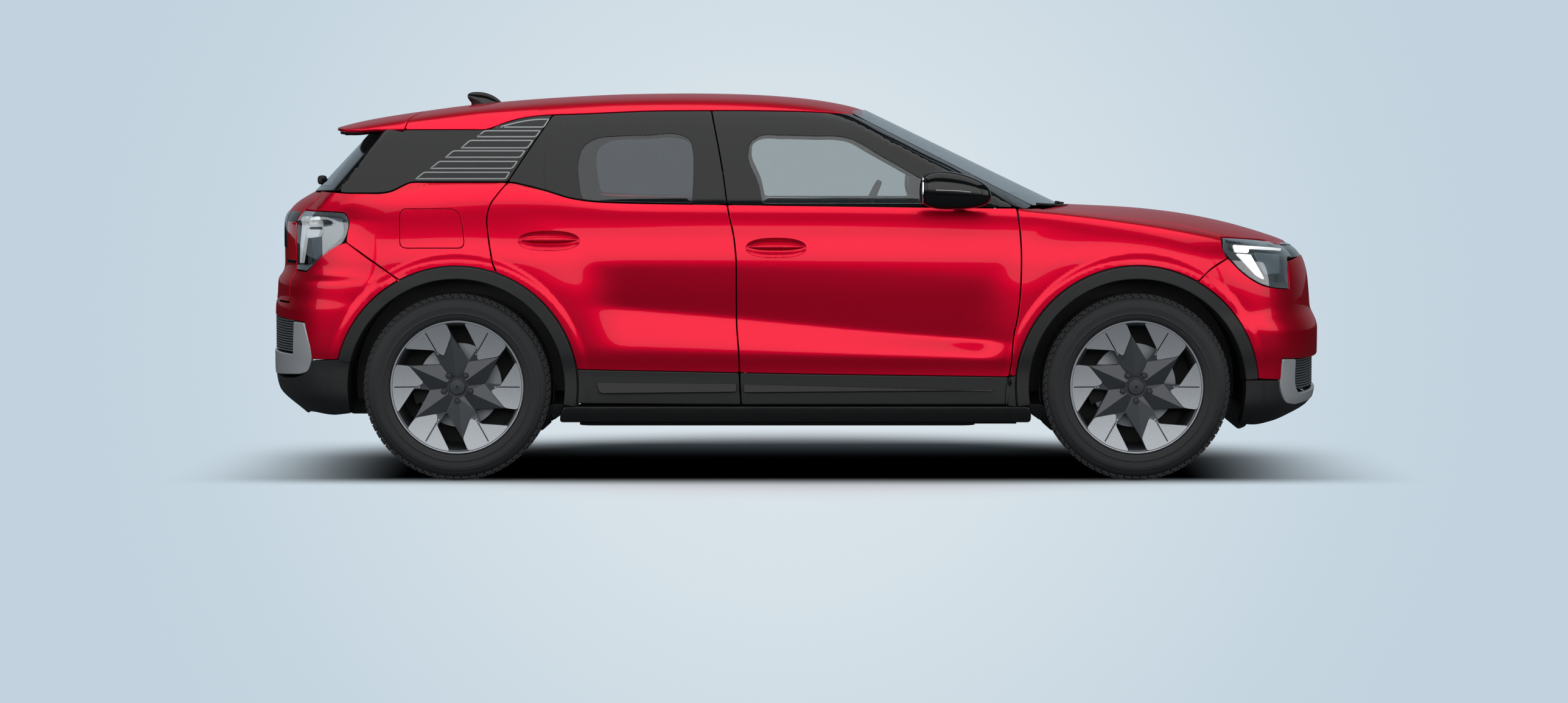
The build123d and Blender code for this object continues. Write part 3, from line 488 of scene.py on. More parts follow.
class Solid:
    """Collects points, normals and faces of one piece, in millimetres."""

    def __init__(self):
        self.points, self.normals, self.faces = [], [], []
        self.count = 0

    def add(self, points, normals, faces):
        """Adds a patch and returns the number of its first point."""
        first = self.count
        self.points.append(np.asarray(points, float))
        self.normals.append(np.asarray(normals, float))
        self.faces += [tuple(int(i) + first for i in face) for face in faces]
        self.count += len(points)
        return first

    def mirrored(self):
        """The same piece on the other side of the car."""
        other = self.moved(lambda p: p * [1, -1, 1], lambda n: n * [1, -1, 1])
        other.faces = [face[::-1] for face in self.faces]
        return other

    def joined(self, *others):
        """This piece with others added to it."""
        whole = Solid()
        for part in (self,) + others:
            whole.faces += [tuple(i + whole.count for i in face) for face in part.faces]
            whole.points += part.points
            whole.normals += part.normals
            whole.count += part.count
        return whole

    def moved(self, change, turn=None):
        """The same piece with its points changed by a function, and its normals by another."""
        other = Solid()
        other.points = [change(p) for p in self.points]
        other.normals = [(turn or (lambda n: n))(n) for n in self.normals]
        other.faces = list(self.faces)
        other.count = self.count
        return other


def at(solid, place):
    """The piece moved to a place."""
    return solid.moved(lambda p: p + place)


def band(count, first, second):
    """Faces between two closed rings of the same number of points."""
    return [(first + i, first + (i + 1) % count, second + (i + 1) % count, second + i) for i in range(count)]


def shell(loop, place, outer=0.0, inner=3.0, edge=2.0, grid=16.0, holes=()):
    """Closed panel that follows a surface, from depth outer to depth inner below it, with rounded edges."""
    loops = [np.array(loop, float)] + [np.array(hole, float) for hole in holes]
    loops = [l if (area_of(l) > 0) == (k == 0) else l[::-1] for k, l in enumerate(loops)]
    edge = min(edge, 0.45 * abs(inner - outer))
    tops = [inset(l, edge) for l in loops]
    uv, faces = fill(tops, grid)
    points, normals = place(uv)
    handed = orientation(points, normals, faces)
    solid = Solid()
    solid.add(points - outer * normals, normals, faces if handed > 0 else faces[:, ::-1])
    solid.add(points - inner * normals, -normals, faces[:, ::-1] if handed > 0 else faces)
    start = 0
    for l in loops:
        count = len(l)
        rim, rim_normals = place(l)
        mid, _ = place(inset(l, 0.3 * edge))
        crown, crown_normals = points[start:start + count], normals[start:start + count]
        out = rim - crown
        out = unit(out - np.sum(out * rim_normals, axis=1)[:, None] * rim_normals)
        rings = [
            (crown - outer * crown_normals, crown_normals),
            (mid - (outer + 0.3 * edge) * rim_normals, unit(rim_normals + out)),
            (rim - (outer + edge) * rim_normals, out),
            (rim - (inner - 0.3 * edge) * rim_normals, out),
            (crown - inner * crown_normals, unit(out - crown_normals)),
        ]
        firsts = [solid.add(p, n, []) for p, n in rings]
        for a, b in zip(firsts, firsts[1:]):
            ring = band(count, a, b)
            solid.faces += [f[::-1] for f in ring] if handed > 0 else ring
        start += count
    return solid


def orientation(points, normals, faces):
    """1 when the faces turn the same way as the normals, else -1."""
    a, b, c = points[faces[:, 0]], points[faces[:, 1]], points[faces[:, 2]]
    return 1 if np.sum(np.cross(b - a, c - a) * normals[faces[:, 0]]) > 0 else -1


def linear(code):
    """Linear colour from an sRGB hex code."""
    parts = [int(code[i:i + 2], 16) / 255 for i in (1, 3, 5)]
    return [c / 12.92 if c <= 0.04045 else ((c + 0.055) / 1.055) ** 2.4 for c in parts] + [1.0]


def node(tree, kind, links=(), **settings):
    """Adds one node with its settings and links; a link is (input, source node, source output)."""
    made = tree.nodes.new(kind)
    for key, value in settings.items():
        if key.startswith("in_"):
            socket = key[3:].replace("_", " ")
            made.inputs[int(socket) if socket.isdigit() else socket].default_value = value
        else:
            setattr(made, key, value)
    for target, source, output in links:
        tree.links.new(source.outputs[output], made.inputs[target])
    return made


def material(name, colour, **settings):
    """New material with one main shader; returns the material, its tree and the shader."""
    made = bpy.data.materials.new(name)
    made.use_nodes = True
    tree = made.node_tree
    shader = tree.nodes["Principled BSDF"]
    shader.inputs["Base Color"].default_value = linear(colour)
    for key, value in settings.items():
        shader.inputs[key.replace("_", " ")].default_value = value
    return made, tree, shader


def build(name, solid, finish, body, stands_for=()):
    """Makes one piece from a solid, gives it its finish and lets it ride on a body."""
    mesh = bpy.data.meshes.new(name)
    points = np.vstack(solid.points) * MM
    mesh.from_pydata(points.tolist(), [], solid.faces)
    mesh.materials.append(finish)
    mesh.polygons.foreach_set("use_smooth", [True] * len(mesh.polygons))
    mesh.normals_split_custom_set_from_vertices(unit(np.vstack(solid.normals)).tolist())
    mesh.update()
    piece = bpy.data.objects.new(name, mesh)
    bpy.context.collection.objects.link(piece)
    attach(piece, body)
    if stands_for:
        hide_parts(*stands_for)
    return piece


def grained(tree, shader, size, depth, strength=0.3):
    """Fine bumps on a shader's surface, their size and depth in millimetres; returns the noise."""
    place = node(tree, "ShaderNodeTexCoord")
    noise = node(
        tree, "ShaderNodeTexNoise", [("Vector", place, "Object")], in_Scale=1 / (size * MM), in_Detail=3.0,
    )
    bump = node(
        tree, "ShaderNodeBump", [("Height", noise, "Fac")], in_Strength=strength, in_Distance=depth * MM,
    )
    tree.links.new(bump.outputs[0], shader.inputs["Normal"])
    return noise


def two_tone(tree, shader, source, output, dark, light):
    """Base colour that goes between two tones with a pattern."""
    tone = node(
        tree, "ShaderNodeMixRGB", [("Fac", source, output)], in_Color1=linear(dark), in_Color2=linear(light),
    )
    tree.links.new(tone.outputs[0], shader.inputs["Base Color"])


FLAKE_SIZE = 0.7
SILVER_FLAKE = 0.9
PLASTIC_GRAIN = 0.55
SOFT_GRAIN = 1.4
RUBBER_GRAIN = 0.8
ORANGE_PEEL = 7.0
CAST_GRAIN = 0.9
PRINT_GRAIN = 0.5
THREAD_SPACING = 3.0
TURNED_PITCH = 4.0
PRISM_SIZE = 5.0

# Car paint, sprayed metal flake under a clear coat: a deep red that sparkles finely and shines softly.
PAINT, tree, shader = material(
    "red_car_paint", "#D8052E", Metallic=0.8, Roughness=0.36, Coat_Weight=0.3, Coat_Roughness=0.03,
    Specular_Tint=linear("#E83048"),
)
place = node(tree, "ShaderNodeTexCoord")
flake = node(tree, "ShaderNodeTexVoronoi", [("Vector", place, "Object")], in_Scale=1 / (FLAKE_SIZE * MM))
two_tone(tree, shader, flake, "Distance", "#CA0026", "#E60A36")
# High-gloss moulded ABS of pillars, frames and mirrors: nearly a black mirror with a very faint wave.
GLOSS, tree, shader = material("gloss_black_plastic", "#0B0C0D", Roughness=0.1, Specular_IOR_Level=0.32)
grained(tree, shader, ORANGE_PEEL, 0.02, 0.15)
# Grained polypropylene of the arch and sill cladding, moulded in black: dull, with a fine leather grain.
GRAIN, tree, shader = material("grained_black_plastic", "#131415", Roughness=0.52)
grained(tree, shader, PLASTIC_GRAIN, 0.4, 0.25)
# Smooth black polypropylene of the sills: dark and satin, with a fine tooth.
SILL, tree, shader = material("smooth_black_plastic", "#060707", Roughness=0.5)
grained(tree, shader, PRINT_GRAIN, 0.1, 0.2)
# Satin silver paint on the bumper corners: fine flakes, no mirror image.
SILVER, tree, shader = material("satin_silver_paint", "#B4B8BC", Metallic=0.4, Roughness=0.4, Coat_Weight=0.3)
place = node(tree, "ShaderNodeTexCoord")
flake = node(tree, "ShaderNodeTexVoronoi", [("Vector", place, "Object")], in_Scale=1 / (SILVER_FLAKE * MM))
two_tone(tree, shader, flake, "Distance", "#ADB1B5", "#BDC1C5")
# Clear and privacy-tinted safety glass, float-drawn: smooth, with a slight green or grey cast.
GLASS, _, _ = material("safety_glass", "#C4CACA", Roughness=0.0, Transmission_Weight=1.0, IOR=1.5)
TINT, _, _ = material("privacy_glass", "#7F8489", Roughness=0.0, Transmission_Weight=1.0, IOR=1.5)
# Ceramic enamel printed and fired round the edge of the glass: even satin black with a fine tooth.
FRIT, tree, shader = material("black_ceramic_print", "#0A0A0B", Roughness=0.3)
grained(tree, shader, PRINT_GRAIN, 0.05, 0.2)
# Vulcanised tyre rubber: dull charcoal with a fine tooth and slightly uneven tone.
RUBBER, tree, shader = material("tyre_rubber", "#17181A", Roughness=0.62)
bloom = grained(tree, shader, RUBBER_GRAIN, 0.3, 0.3)
two_tone(tree, shader, bloom, "Fac", "#141517", "#1A1B1D")
# Diamond-turned aluminium of the rim faces: turning lines run round the axle; drawn coarser than they are.
MACHINED, tree, shader = material("machined_aluminium", "#A6AAAF", Metallic=0.75, Roughness=0.42)
place = node(tree, "ShaderNodeTexCoord")
parts = node(tree, "ShaderNodeSeparateXYZ", [("Vector", place, "Object")])
either_end = node(tree, "ShaderNodeMath", [(0, parts, "X")], operation="ABSOLUTE")
from_axle = node(tree, "ShaderNodeCombineXYZ", [("X", either_end, 0), ("Z", parts, "Z")])
centred = node(
    tree, "ShaderNodeVectorMath", [(0, from_axle, 0)], operation="SUBTRACT",
    in_1=(AXLE * MM, 0, WHEEL_HEIGHT * MM),
)
radius = node(tree, "ShaderNodeVectorMath", [(0, centred, 0)], operation="LENGTH")
lines = node(
    tree, "ShaderNodeTexNoise", [("W", radius, "Value")], noise_dimensions="1D",
    in_Scale=1 / (TURNED_PITCH * MM),
)
two_tone(tree, shader, lines, "Fac", "#9CA0A5", "#B0B4B9")
# Cast aluminium under dark lacquer: grey with a slight cast texture under a soft shine.
DARK_ALLOY, tree, shader = material(
    "dark_lacquered_aluminium", "#3F4246", Metallic=0.6, Roughness=0.42, Coat_Weight=0.3,
)
grained(tree, shader, CAST_GRAIN, 0.1, 0.2)
# Soft-touch moulded plastic inside the cabin: dull dark grey with a leather grain.
TRIM, tree, shader = material("cabin_plastic", "#2A2C2E", Roughness=0.6)
grained(tree, shader, SOFT_GRAIN, 0.3, 0.3)
# Woven polyester seat cloth: dull, soft at its edges, with threads both ways.
CLOTH, tree, shader = material("seat_cloth", "#2B2D30", Roughness=0.9, Sheen_Weight=0.3, Sheen_Roughness=0.5)
place = node(tree, "ShaderNodeTexCoord")
warp, weft = [
    node(
        tree, "ShaderNodeTexWave", [("Vector", place, "Object")], bands_direction=way,
        in_Scale=pi / (10 * THREAD_SPACING * MM),
    )
    for way in ("Y", "DIAGONAL")
]
weave = node(tree, "ShaderNodeMath", [(0, warp, "Fac"), (1, weft, "Fac")], operation="MULTIPLY")
two_tone(tree, shader, weave, 0, "#242629", "#34373B")
bump = node(tree, "ShaderNodeBump", [("Height", weave, 0)], in_Strength=0.4, in_Distance=0.5 * MM)
tree.links.new(bump.outputs[0], shader.inputs["Normal"])
# Painted steel under the body: dipped black paint with a slight orange peel.
STEEL, tree, shader = material("black_painted_steel", "#0B0C0D", Roughness=0.6)
grained(tree, shader, ORANGE_PEEL, 0.1, 0.25)

# Ways to lay pieces out on the body: from the side, on the glass alone, from above, and round its rods.
side = from_side()
pane_side = from_side(cabin)
roof = round_bar(ROOF_AXIS)
wing = round_bar(WING_AXIS)
nose = round_end(1)
tail = round_end(-1)


def nose_line(*points):
    """Places the eye sees on the right side, as nose coordinates."""
    return list(end_arc(side(points)[0], 1))


def tail_line(*points):
    """Places the eye sees on the right side, as tail coordinates."""
    return list(end_arc(side(points)[0], -1))


def arc_at(place_on, y, z):
    """Arc on the right half of the nose or tail that lies at one distance from the middle."""
    arcs = -np.linspace(0, 1500, 151)
    points, _ = place_on(columns(arcs, z))
    return float(np.interp(y, -points[:, 1], arcs))


def even(*runs, corner=8.0, other_side=(-1, 1)):
    """Outline of a piece that is the same left and right, from the runs of its right half."""
    left = [np.array(run, float)[::-1] * other_side for run in reversed(runs)]
    return outline(*runs, *left, corner=corner)


def even_plan(*runs, corner=8.0):
    """The same in plan, where the second coordinate changes sides."""
    return even(*runs, corner=corner, other_side=(1, -1))


def even_strip(reach, high, low, corner, foot=None):
    """Even outline between two heights, out to one arc; foot is its lower height in the middle."""
    return even(
        *straight([(0, high), (reach, high), (reach, low), (0, low if foot is None else foot)]),
        corner=corner,
    )


def tube(path, width, height=None, up=(0, 0, 1), sides=12, taper=None):
    """Rounded bar along a path, width across and height along up."""
    p = np.array(path, float)
    height = height or width
    taper = np.ones(len(p)) if taper is None else np.array(taper, float)
    along_path = unit(np.gradient(p, axis=0))
    across = unit(np.cross(along_path, np.array(up, float)))
    rise = np.cross(across, along_path)
    angle = np.linspace(0, 2 * pi, sides, endpoint=False)
    c, s = softened(np.cos(angle), 0.7)[:, None], softened(np.sin(angle), 0.7)[:, None]
    solid = Solid()
    firsts = []
    for i in range(len(p)):
        out = c * across[i] * width / 2 + s * rise[i] * height / 2
        firsts.append(solid.add(p[i] + out * taper[i], unit(out), []))
    for a, b in zip(firsts, firsts[1:]):
        solid.faces += [f[::-1] for f in band(sides, a, b)]
    for i, first, way in ((0, firsts[0], -1), (-1, firsts[-1], 1)):
        cap = solid.add(solid.points[firsts.index(first)], np.tile(way * along_path[i], (sides, 1)), [])
        solid.faces.append(tuple(range(cap, cap + sides)))
    return facing_out(solid)


def lathe(profile, turns=96):
    """Closed ring from (radius, distance along -y) points, turned about the wheel's axle."""
    p = np.array(profile, float)
    p = p[::-1] if area_of(p) > 0 else p
    closed = np.vstack([p, p[:1]])
    solid = Solid()
    angle = np.linspace(0, 2 * pi, turns, endpoint=False)
    for a, b in zip(closed, closed[1:]):
        run = b - a
        out = np.array([-run[1], run[0]]) / max(hypot(*run), 1e-6)
        rings = []
        for r, w in (a, b):
            ring = columns(r * np.cos(angle), -w, r * np.sin(angle))
            rings.append(
                solid.add(ring, columns(out[0] * np.cos(angle), -out[1], out[0] * np.sin(angle)), []),
            )
        solid.faces += [f[::-1] for f in band(turns, rings[0], rings[1])]
    return facing_out(solid)


def rounded_block(size, power=4.0, steps=28, bend=None, centre=(0, 0, 0)):
    """Closed rounded block; power sets how square it is, and bend changes its points before it is placed."""
    rows, around = steps, steps * 2
    polar = np.linspace(0.0, pi, rows + 1)
    turn = np.linspace(0, 2 * pi, around, endpoint=False)
    a, b = np.meshgrid(polar, turn, indexing="ij")
    raw = np.stack([np.sin(a) * np.cos(b), np.sin(a) * np.sin(b), np.cos(a)], axis=-1).reshape(-1, 3)
    scale = (np.abs(raw) ** power).sum(1) ** (-1 / power)
    half = np.array(size, float) / 2
    local = raw * scale[:, None] * half
    normal = unit(softened(local / half, power - 1) / half)
    if bend is not None:
        local = bend(local)
    solid = Solid()
    faces = []
    for i in range(rows):
        for j in range(around):
            k = (j + 1) % around
            a, b = i * around, (i + 1) * around
            if i == 0:
                faces.append((a, b + j, b + k))
            elif i == rows - 1:
                faces.append((a + j, b, a + k))
            else:
                faces.append((a + j, b + j, b + k, a + k))
    solid.add(local + np.array(centre, float), normal, faces)
    return facing_out(solid)


def facing_out(solid):
    """Turns the faces that look against their normals."""
    points, normals = np.vstack(solid.points), np.vstack(solid.normals)
    faces = []
    for face in solid.faces:
        a, b, c = points[face[0]], points[face[1]], points[face[2]]
        good = np.dot(np.cross(b - a, c - a), normals[list(face)].sum(0)) >= 0
        faces.append(face if good else face[::-1])
    solid.faces = faces
    return solid


def shaded(solid):
    """The same piece with normals worked out again from its faces, for shapes that were bent."""
    points = np.vstack(solid.points)
    normals = np.zeros_like(points)
    for face in solid.faces:
        a, b, c = points[face[0]], points[face[1]], points[face[2]]
        normals[list(face)] += np.cross(b - a, c - a)
    solid.points, solid.normals = [points], [unit(normals)]
    return solid


def boxes(*ranges):
    """Plain blocks, each given as x0, x1, y0, y1, z0, z1."""
    solid = Solid()
    for x0, x1, y0, y1, z0, z1 in ranges:
        low, high = np.array([x0, y0, z0], float), np.array([x1, y1, z1], float)
        for axis in range(3):
            for end in (0, 1):
                others = [k for k in range(3) if k != axis]
                square = np.tile(low if end == 0 else high, (4, 1))
                for row, (u, v) in enumerate(((0, 0), (1, 0), (1, 1), (0, 1))):
                    square[row, others[0]] = (low, high)[u][others[0]]
                    square[row, others[1]] = (low, high)[v][others[1]]
                normal = np.zeros(3)
                normal[axis] = 2 * end - 1
                solid.add(square, np.tile(normal, (4, 1)), [(0, 1, 2, 3)])
    return facing_out(solid)


def repeat_group():
    """Geometry nodes that repeat a piece by turning it about an axle or moving it along a step."""
    group = bpy.data.node_groups.new("repeat_piece", "GeometryNodeTree")
    group.interface.new_socket("Geometry", in_out="OUTPUT", socket_type="NodeSocketGeometry")
    for name, kind in (
        ("Geometry", "Geometry"), ("Count", "Int"), ("Turn", "Vector"), ("Step", "Vector"),
        ("Pivot", "Vector"), ("Finish", "Material"),
    ):
        group.interface.new_socket(name, in_out="INPUT", socket_type="NodeSocket" + kind)
    entry = group.nodes.new("NodeGroupInput")
    number = group.nodes.new("GeometryNodeInputIndex")
    points = node(group, "GeometryNodePoints", [("Count", entry, "Count")])
    spread = node(
        group, "GeometryNodeInstanceOnPoints", [("Points", points, 0), ("Instance", entry, "Geometry")],
    )
    turn = node(group, "ShaderNodeVectorMath", [(0, entry, "Turn"), ("Scale", number, 0)], operation="SCALE")
    turned = node(
        group,
        "GeometryNodeRotateInstances",
        [("Instances", spread, 0), ("Rotation", turn, 0), ("Pivot Point", entry, "Pivot")],
        in_Local_Space=False,
    )
    step = node(group, "ShaderNodeVectorMath", [(0, entry, "Step"), ("Scale", number, 0)], operation="SCALE")
    moved = node(
        group,
        "GeometryNodeTranslateInstances",
        [("Instances", turned, 0), ("Translation", step, 0)],
        in_Local_Space=False,
    )
    real = node(group, "GeometryNodeRealizeInstances", [("Geometry", moved, 0)])
    finish = node(group, "GeometryNodeSetMaterial", [("Geometry", real, 0), ("Material", entry, "Finish")])
    node(group, "NodeGroupOutput", [("Geometry", finish, 0)])
    return group


REPEAT = repeat_group()


def repeated(name, solid, finish, body, count, turn=(0, 0, 0), step=(0, 0, 0), pivot=(0, 0, 0)):
    """Builds one piece from many copies of a solid."""
    piece = build(name, solid, finish, body)
    modifier = piece.modifiers.new("repeat", "NODES")
    modifier.node_group = REPEAT
    values = {
        "Count": count, "Turn": turn, "Step": [v * MM for v in step], "Pivot": [v * MM for v in pivot],
        "Finish": finish,
    }
    for item in REPEAT.interface.items_tree:
        if item.in_out == "INPUT" and item.name in values:
            modifier[item.identifier] = values[item.name]
    bpy.context.view_layer.update()
    graph = bpy.context.evaluated_depsgraph_get()
    made = bpy.data.meshes.new_from_object(piece.evaluated_get(graph), depsgraph=graph)
    piece.modifiers.remove(modifier)
    piece.data = made
    return piece


def spoke(centre, radius, angle):
    """Point at a radius and an angle from a centre."""
    return (centre[0] + radius * cos(radians(angle)), centre[1] + radius * sin(radians(angle)))


# Lines of the right side, as the eye sees them in the sight plane.
FRONT_SHUT = [
    (892, 1118), (894, 1095), (903, 1048), (912, 897), (910, 802), (900, 680), (880, 585), (868, 443),
    (856, 406), (851, 312),
]
MIDDLE_SHUT = [
    (-344, 1497), (-300, 1256), (-281, 1114), (-255, 991), (-246, 878), (-245, 661), (-236, 519), (-231, 387),
    (-226, 312),
]
REAR_SHUT = [
    (-987, 1490), (-1128, 1284), (-1171, 1218), (-1204, 1180), (-1245, 1124), (-1258, 1070), (-1251, 991),
    (-1237, 897), (-1220, 842),
]
BELT = curve(
    [
        (-2000, 1180), (-1941, 1181), (-1809, 1172), (-1700, 1172), (-1650, 1178), (-1596, 1203),
        (-1560, 1217), (-1171, 1217), (-1100, 1204), (-1025, 1185), (-902, 1149), (-798, 1137), (-600, 1131),
        (-300, 1127), (400, 1118), (890, 1113), (1100, 1112),
    ],
    10,
)
DRIP = curve(
    [
        (-1850, 1430), (-1250, 1430), (-1213, 1447), (-1100, 1479), (-996, 1490), (-900, 1493), (-522, 1507),
        (-250, 1508), (-50, 1506), (100, 1501), (205, 1494), (290, 1475), (500, 1380), (800, 1225),
    ],
    10,
)
CLAD = curve([(-1300, 475), (-890, 455), (-400, 445), (0, 437), (700, 427), (900, 424)], 30)
# Half the gap between two panels, and how deep a panel's skin goes.
GAP = 2.5
SKIN = 14.0
# How the panels are made: depths of their outer and inner faces, rounding of their edges, mesh size.
DOOR_SKIN = (0, SKIN, 2.5, 12)
BUMPER_SKIN = (0, SKIN, 2.5, 14)
QUARTER_SKIN = (0, SKIN, 2, 12)
FACET = (0, SKIN, 3, 16)
FRAME_SHEET = (0, 12, 1.5, 22)
PANE = (1, 5, 0.8, 40)
DOOR_LINING = (15, 108, 8, 45)
FRAME_LINING = (13, 44, 6, 40)
CLADDING = (-7, SKIN, 4, 16)
BLADE = (-1, SKIN, 4, 16)
LOWER_TRIM = (2, 26, 4, 16)
BEZEL = (4, 30, 2, 14)
PRINT_LINE = (-0.8, 0.6, 0.3, 12)


def along(line, x0, x1, shift=0.0, step=24.0):
    """Points on a height line between two stations."""
    x = np.linspace(x0, x1, max(2, int(abs(x1 - x0) / step) + 1))
    return [(a, float(line(a)) + shift) for a in x]


def station_on(points):
    """Station of a falling shut line by height."""
    return curve([(z, x) for x, z in points], 12)


def clip_line(points, low, high, dx=0.0):
    """The part of a falling shut line between two heights, moved sideways by dx."""
    station = station_on(points)
    return [
        (float(station(z)) + dx, float(z))
        for z in np.linspace(high, low, max(3, int((high - low) / 40)))
    ]


def meet(points, line, shift=0.0, guess=1110.0):
    """Height where a shut line crosses a height line."""
    station, height = station_on(points), guess
    for _ in range(12):
        height = float(line(station(height))) + shift
    return height


def at_height(points, height, dx=0.0):
    """Place on a shut line at one height."""
    return (float(station_on(points)(height)) + dx, height)


# Radii of the arch lips' outer and inner edges, and those at which panels and lower trims round them end.
ARCH = 492.0
LIP_INNER = 440.0
ARCH_CUT = ARCH + 4
TRIM_CUT = LIP_INNER + 4
# How far the tailgate's shut line lies from the middle, and the inner ends of the headlamps.
GATE_SHUT = 606.0
LAMP_INNER = 560.0


def angle_at(axle, x, z):
    """Angle in degrees of a place as seen from a wheel's middle."""
    return degrees(atan2(z - WHEEL_HEIGHT, x - axle))


def arch_angle(z):
    """Angle in degrees at which an arch passes a height."""
    return degrees(np.arcsin((z - WHEEL_HEIGHT) / ARCH_CUT))


def both_sides(solid, name, finish, bodies, stands_for=()):
    """Builds the right-hand piece and its mirror image."""
    for word, part, body in (("right", solid, bodies[0]), ("left", solid.mirrored(), bodies[1])):
        build(name.format(word), part, finish, body, [n.format(word) for n in stands_for])


DOORS_FRONT = ("front_right_door", "front_left_door")
DOORS_REAR = ("rear_right_door", "rear_left_door")
BODY = ("car_body", "car_body")
GATE = ("tailgate", "tailgate")

# Front door skin in red, from the waist to the cladding.
lead = clip_line(FRONT_SHUT, 428, meet(FRONT_SHUT, BELT, -2), -GAP)
trail = clip_line(MIDDLE_SHUT, meet(MIDDLE_SHUT, CLAD, 2, 440), meet(MIDDLE_SHUT, BELT, -2), GAP)
front_skin = outline(
    lead[::-1],
    along(BELT, lead[0][0], trail[0][0], -2),
    trail,
    along(CLAD, trail[-1][0], lead[-1][0], 2),
    corner=5,
)
# Bowls of the handles: middle (x, z), width and height, and how square they are.
HANDLES = [(-84, 950, 243, 80), (-1006, 979, 247, 80)]
BOWL_POWER = 2.3


def bowl_outline(cx, cz, w, h, step=5.0):
    """Rounded outline of a handle bowl."""
    t = np.linspace(0, 2 * pi, int((w + h) * 1.6 / step), endpoint=False)
    return columns(
        cx + w / 2 * softened(np.cos(t), 2 / BOWL_POWER), cz + h / 2 * softened(np.sin(t), 2 / BOWL_POWER),
    )


front_bowl, rear_bowl = [bowl_outline(*handle) for handle in HANDLES]
solid = shell(front_skin, side, *DOOR_SKIN, holes=[front_bowl])
both_sides(solid, "front_{}_door_skin", PAINT, DOORS_FRONT, ["front_{}_door"])

# Rear door skin in red.
rear_trail = clip_line(REAR_SHUT, 846, meet(REAR_SHUT, BELT, -2, 1200), GAP)
rear_lead = clip_line(MIDDLE_SHUT, meet(MIDDLE_SHUT, CLAD, 2, 440), meet(MIDDLE_SHUT, BELT, -2), -GAP)
rear_door_arc = arc(REAR_WHEEL, ARCH_CUT, angle_at(-AXLE, rear_trail[-1][0], 846), arch_angle(462))
rear_trail[-1] = rear_door_arc[0]
rear_skin = outline(
    rear_lead[::-1],
    along(BELT, rear_lead[0][0], rear_trail[0][0], -2),
    rear_trail,
    rear_door_arc,
    along(CLAD, rear_door_arc[-1][0], rear_lead[-1][0], 2),
    corner=5,
)
solid = shell(rear_skin, side, *DOOR_SKIN, holes=[rear_bowl])
both_sides(solid, "rear_{}_door_skin", PAINT, DOORS_REAR, ["rear_{}_door"])


# Door frames in gloss black with their panes.
FRAME_LINE = [
    (874, 1121), (760, 1192), (630, 1270), (517, 1324), (400, 1384), (328, 1418), (262, 1455), (190, 1486),
    (120, 1497),
]
FRONT_SEE = [
    (-139, 1131), (-152, 1200), (-196, 1338), (-186, 1378), (-154, 1402), (-60, 1407), (82, 1404),
    (150, 1404), (215, 1393), (330, 1330), (503, 1230), (560, 1196),
]
REAR_SEE = [
    (-872, 1145), (-884, 1230), (-884, 1310), (-862, 1362), (-815, 1392), (-740, 1402), (-600, 1407),
    (-470, 1407), (-436, 1390), (-421, 1345), (-418, 1284), (-424, 1134),
]
middle_high = meet(MIDDLE_SHUT, DRIP, -3, 1500)
front_frame = outline(
    FRAME_LINE,
    [FRAME_LINE[-1]] + along(DRIP, 60, at_height(MIDDLE_SHUT, middle_high, GAP)[0], -3),
    clip_line(MIDDLE_SHUT, meet(MIDDLE_SHUT, BELT, 2), middle_high, GAP),
    along(BELT, at_height(MIDDLE_SHUT, 1129, GAP)[0], 874, 2.5),
    corner=6,
)
front_see = outline(*linked(FRONT_SEE, [(640, 1148), (610, 1131)], [(-139, 1131)]), corner=12)
both_sides(
    shell(front_frame, pane_side, *FRAME_SHEET, holes=[front_see]), "front_{}_door_frame", GLOSS, DOORS_FRONT,
)
both_sides(shell(front_see, pane_side, *PANE), "front_{}_door_glass", GLASS, DOORS_FRONT,
           ["front_{}_window"])
rear_low = meet(REAR_SHUT, BELT, 2, 1215)
rear_frame = outline(
    clip_line(MIDDLE_SHUT, meet(MIDDLE_SHUT, BELT, 2), middle_high, -GAP)[::-1],
    along(DRIP, at_height(MIDDLE_SHUT, middle_high, -GAP)[0], -984, -3),
    clip_line(REAR_SHUT, rear_low, 1487, GAP),
    along(BELT, at_height(REAR_SHUT, rear_low, GAP)[0], at_height(MIDDLE_SHUT, 1130, -GAP)[0], 2.5),
    corner=6,
)
rear_see = outline(*linked(REAR_SEE, along(BELT, -430, -872, 5)), corner=12)
both_sides(
    shell(rear_frame, pane_side, *FRAME_SHEET, holes=[rear_see]), "rear_{}_door_frame", GLOSS, DOORS_REAR,
)
both_sides(
    shell(rear_see, pane_side, *PANE), "rear_{}_door_glass", TINT, DOORS_REAR, ["rear_{}_window"],
)
divider = tube(
    pane_side([(-928, 1468), (-975, 1400), (-1021, 1326), (-1023, 1250), (-1019, 1192)])[0], 5, 2, (0, 1, 0),
)
both_sides(divider, "rear_{}_window_divider", TRIM, DOORS_REAR)

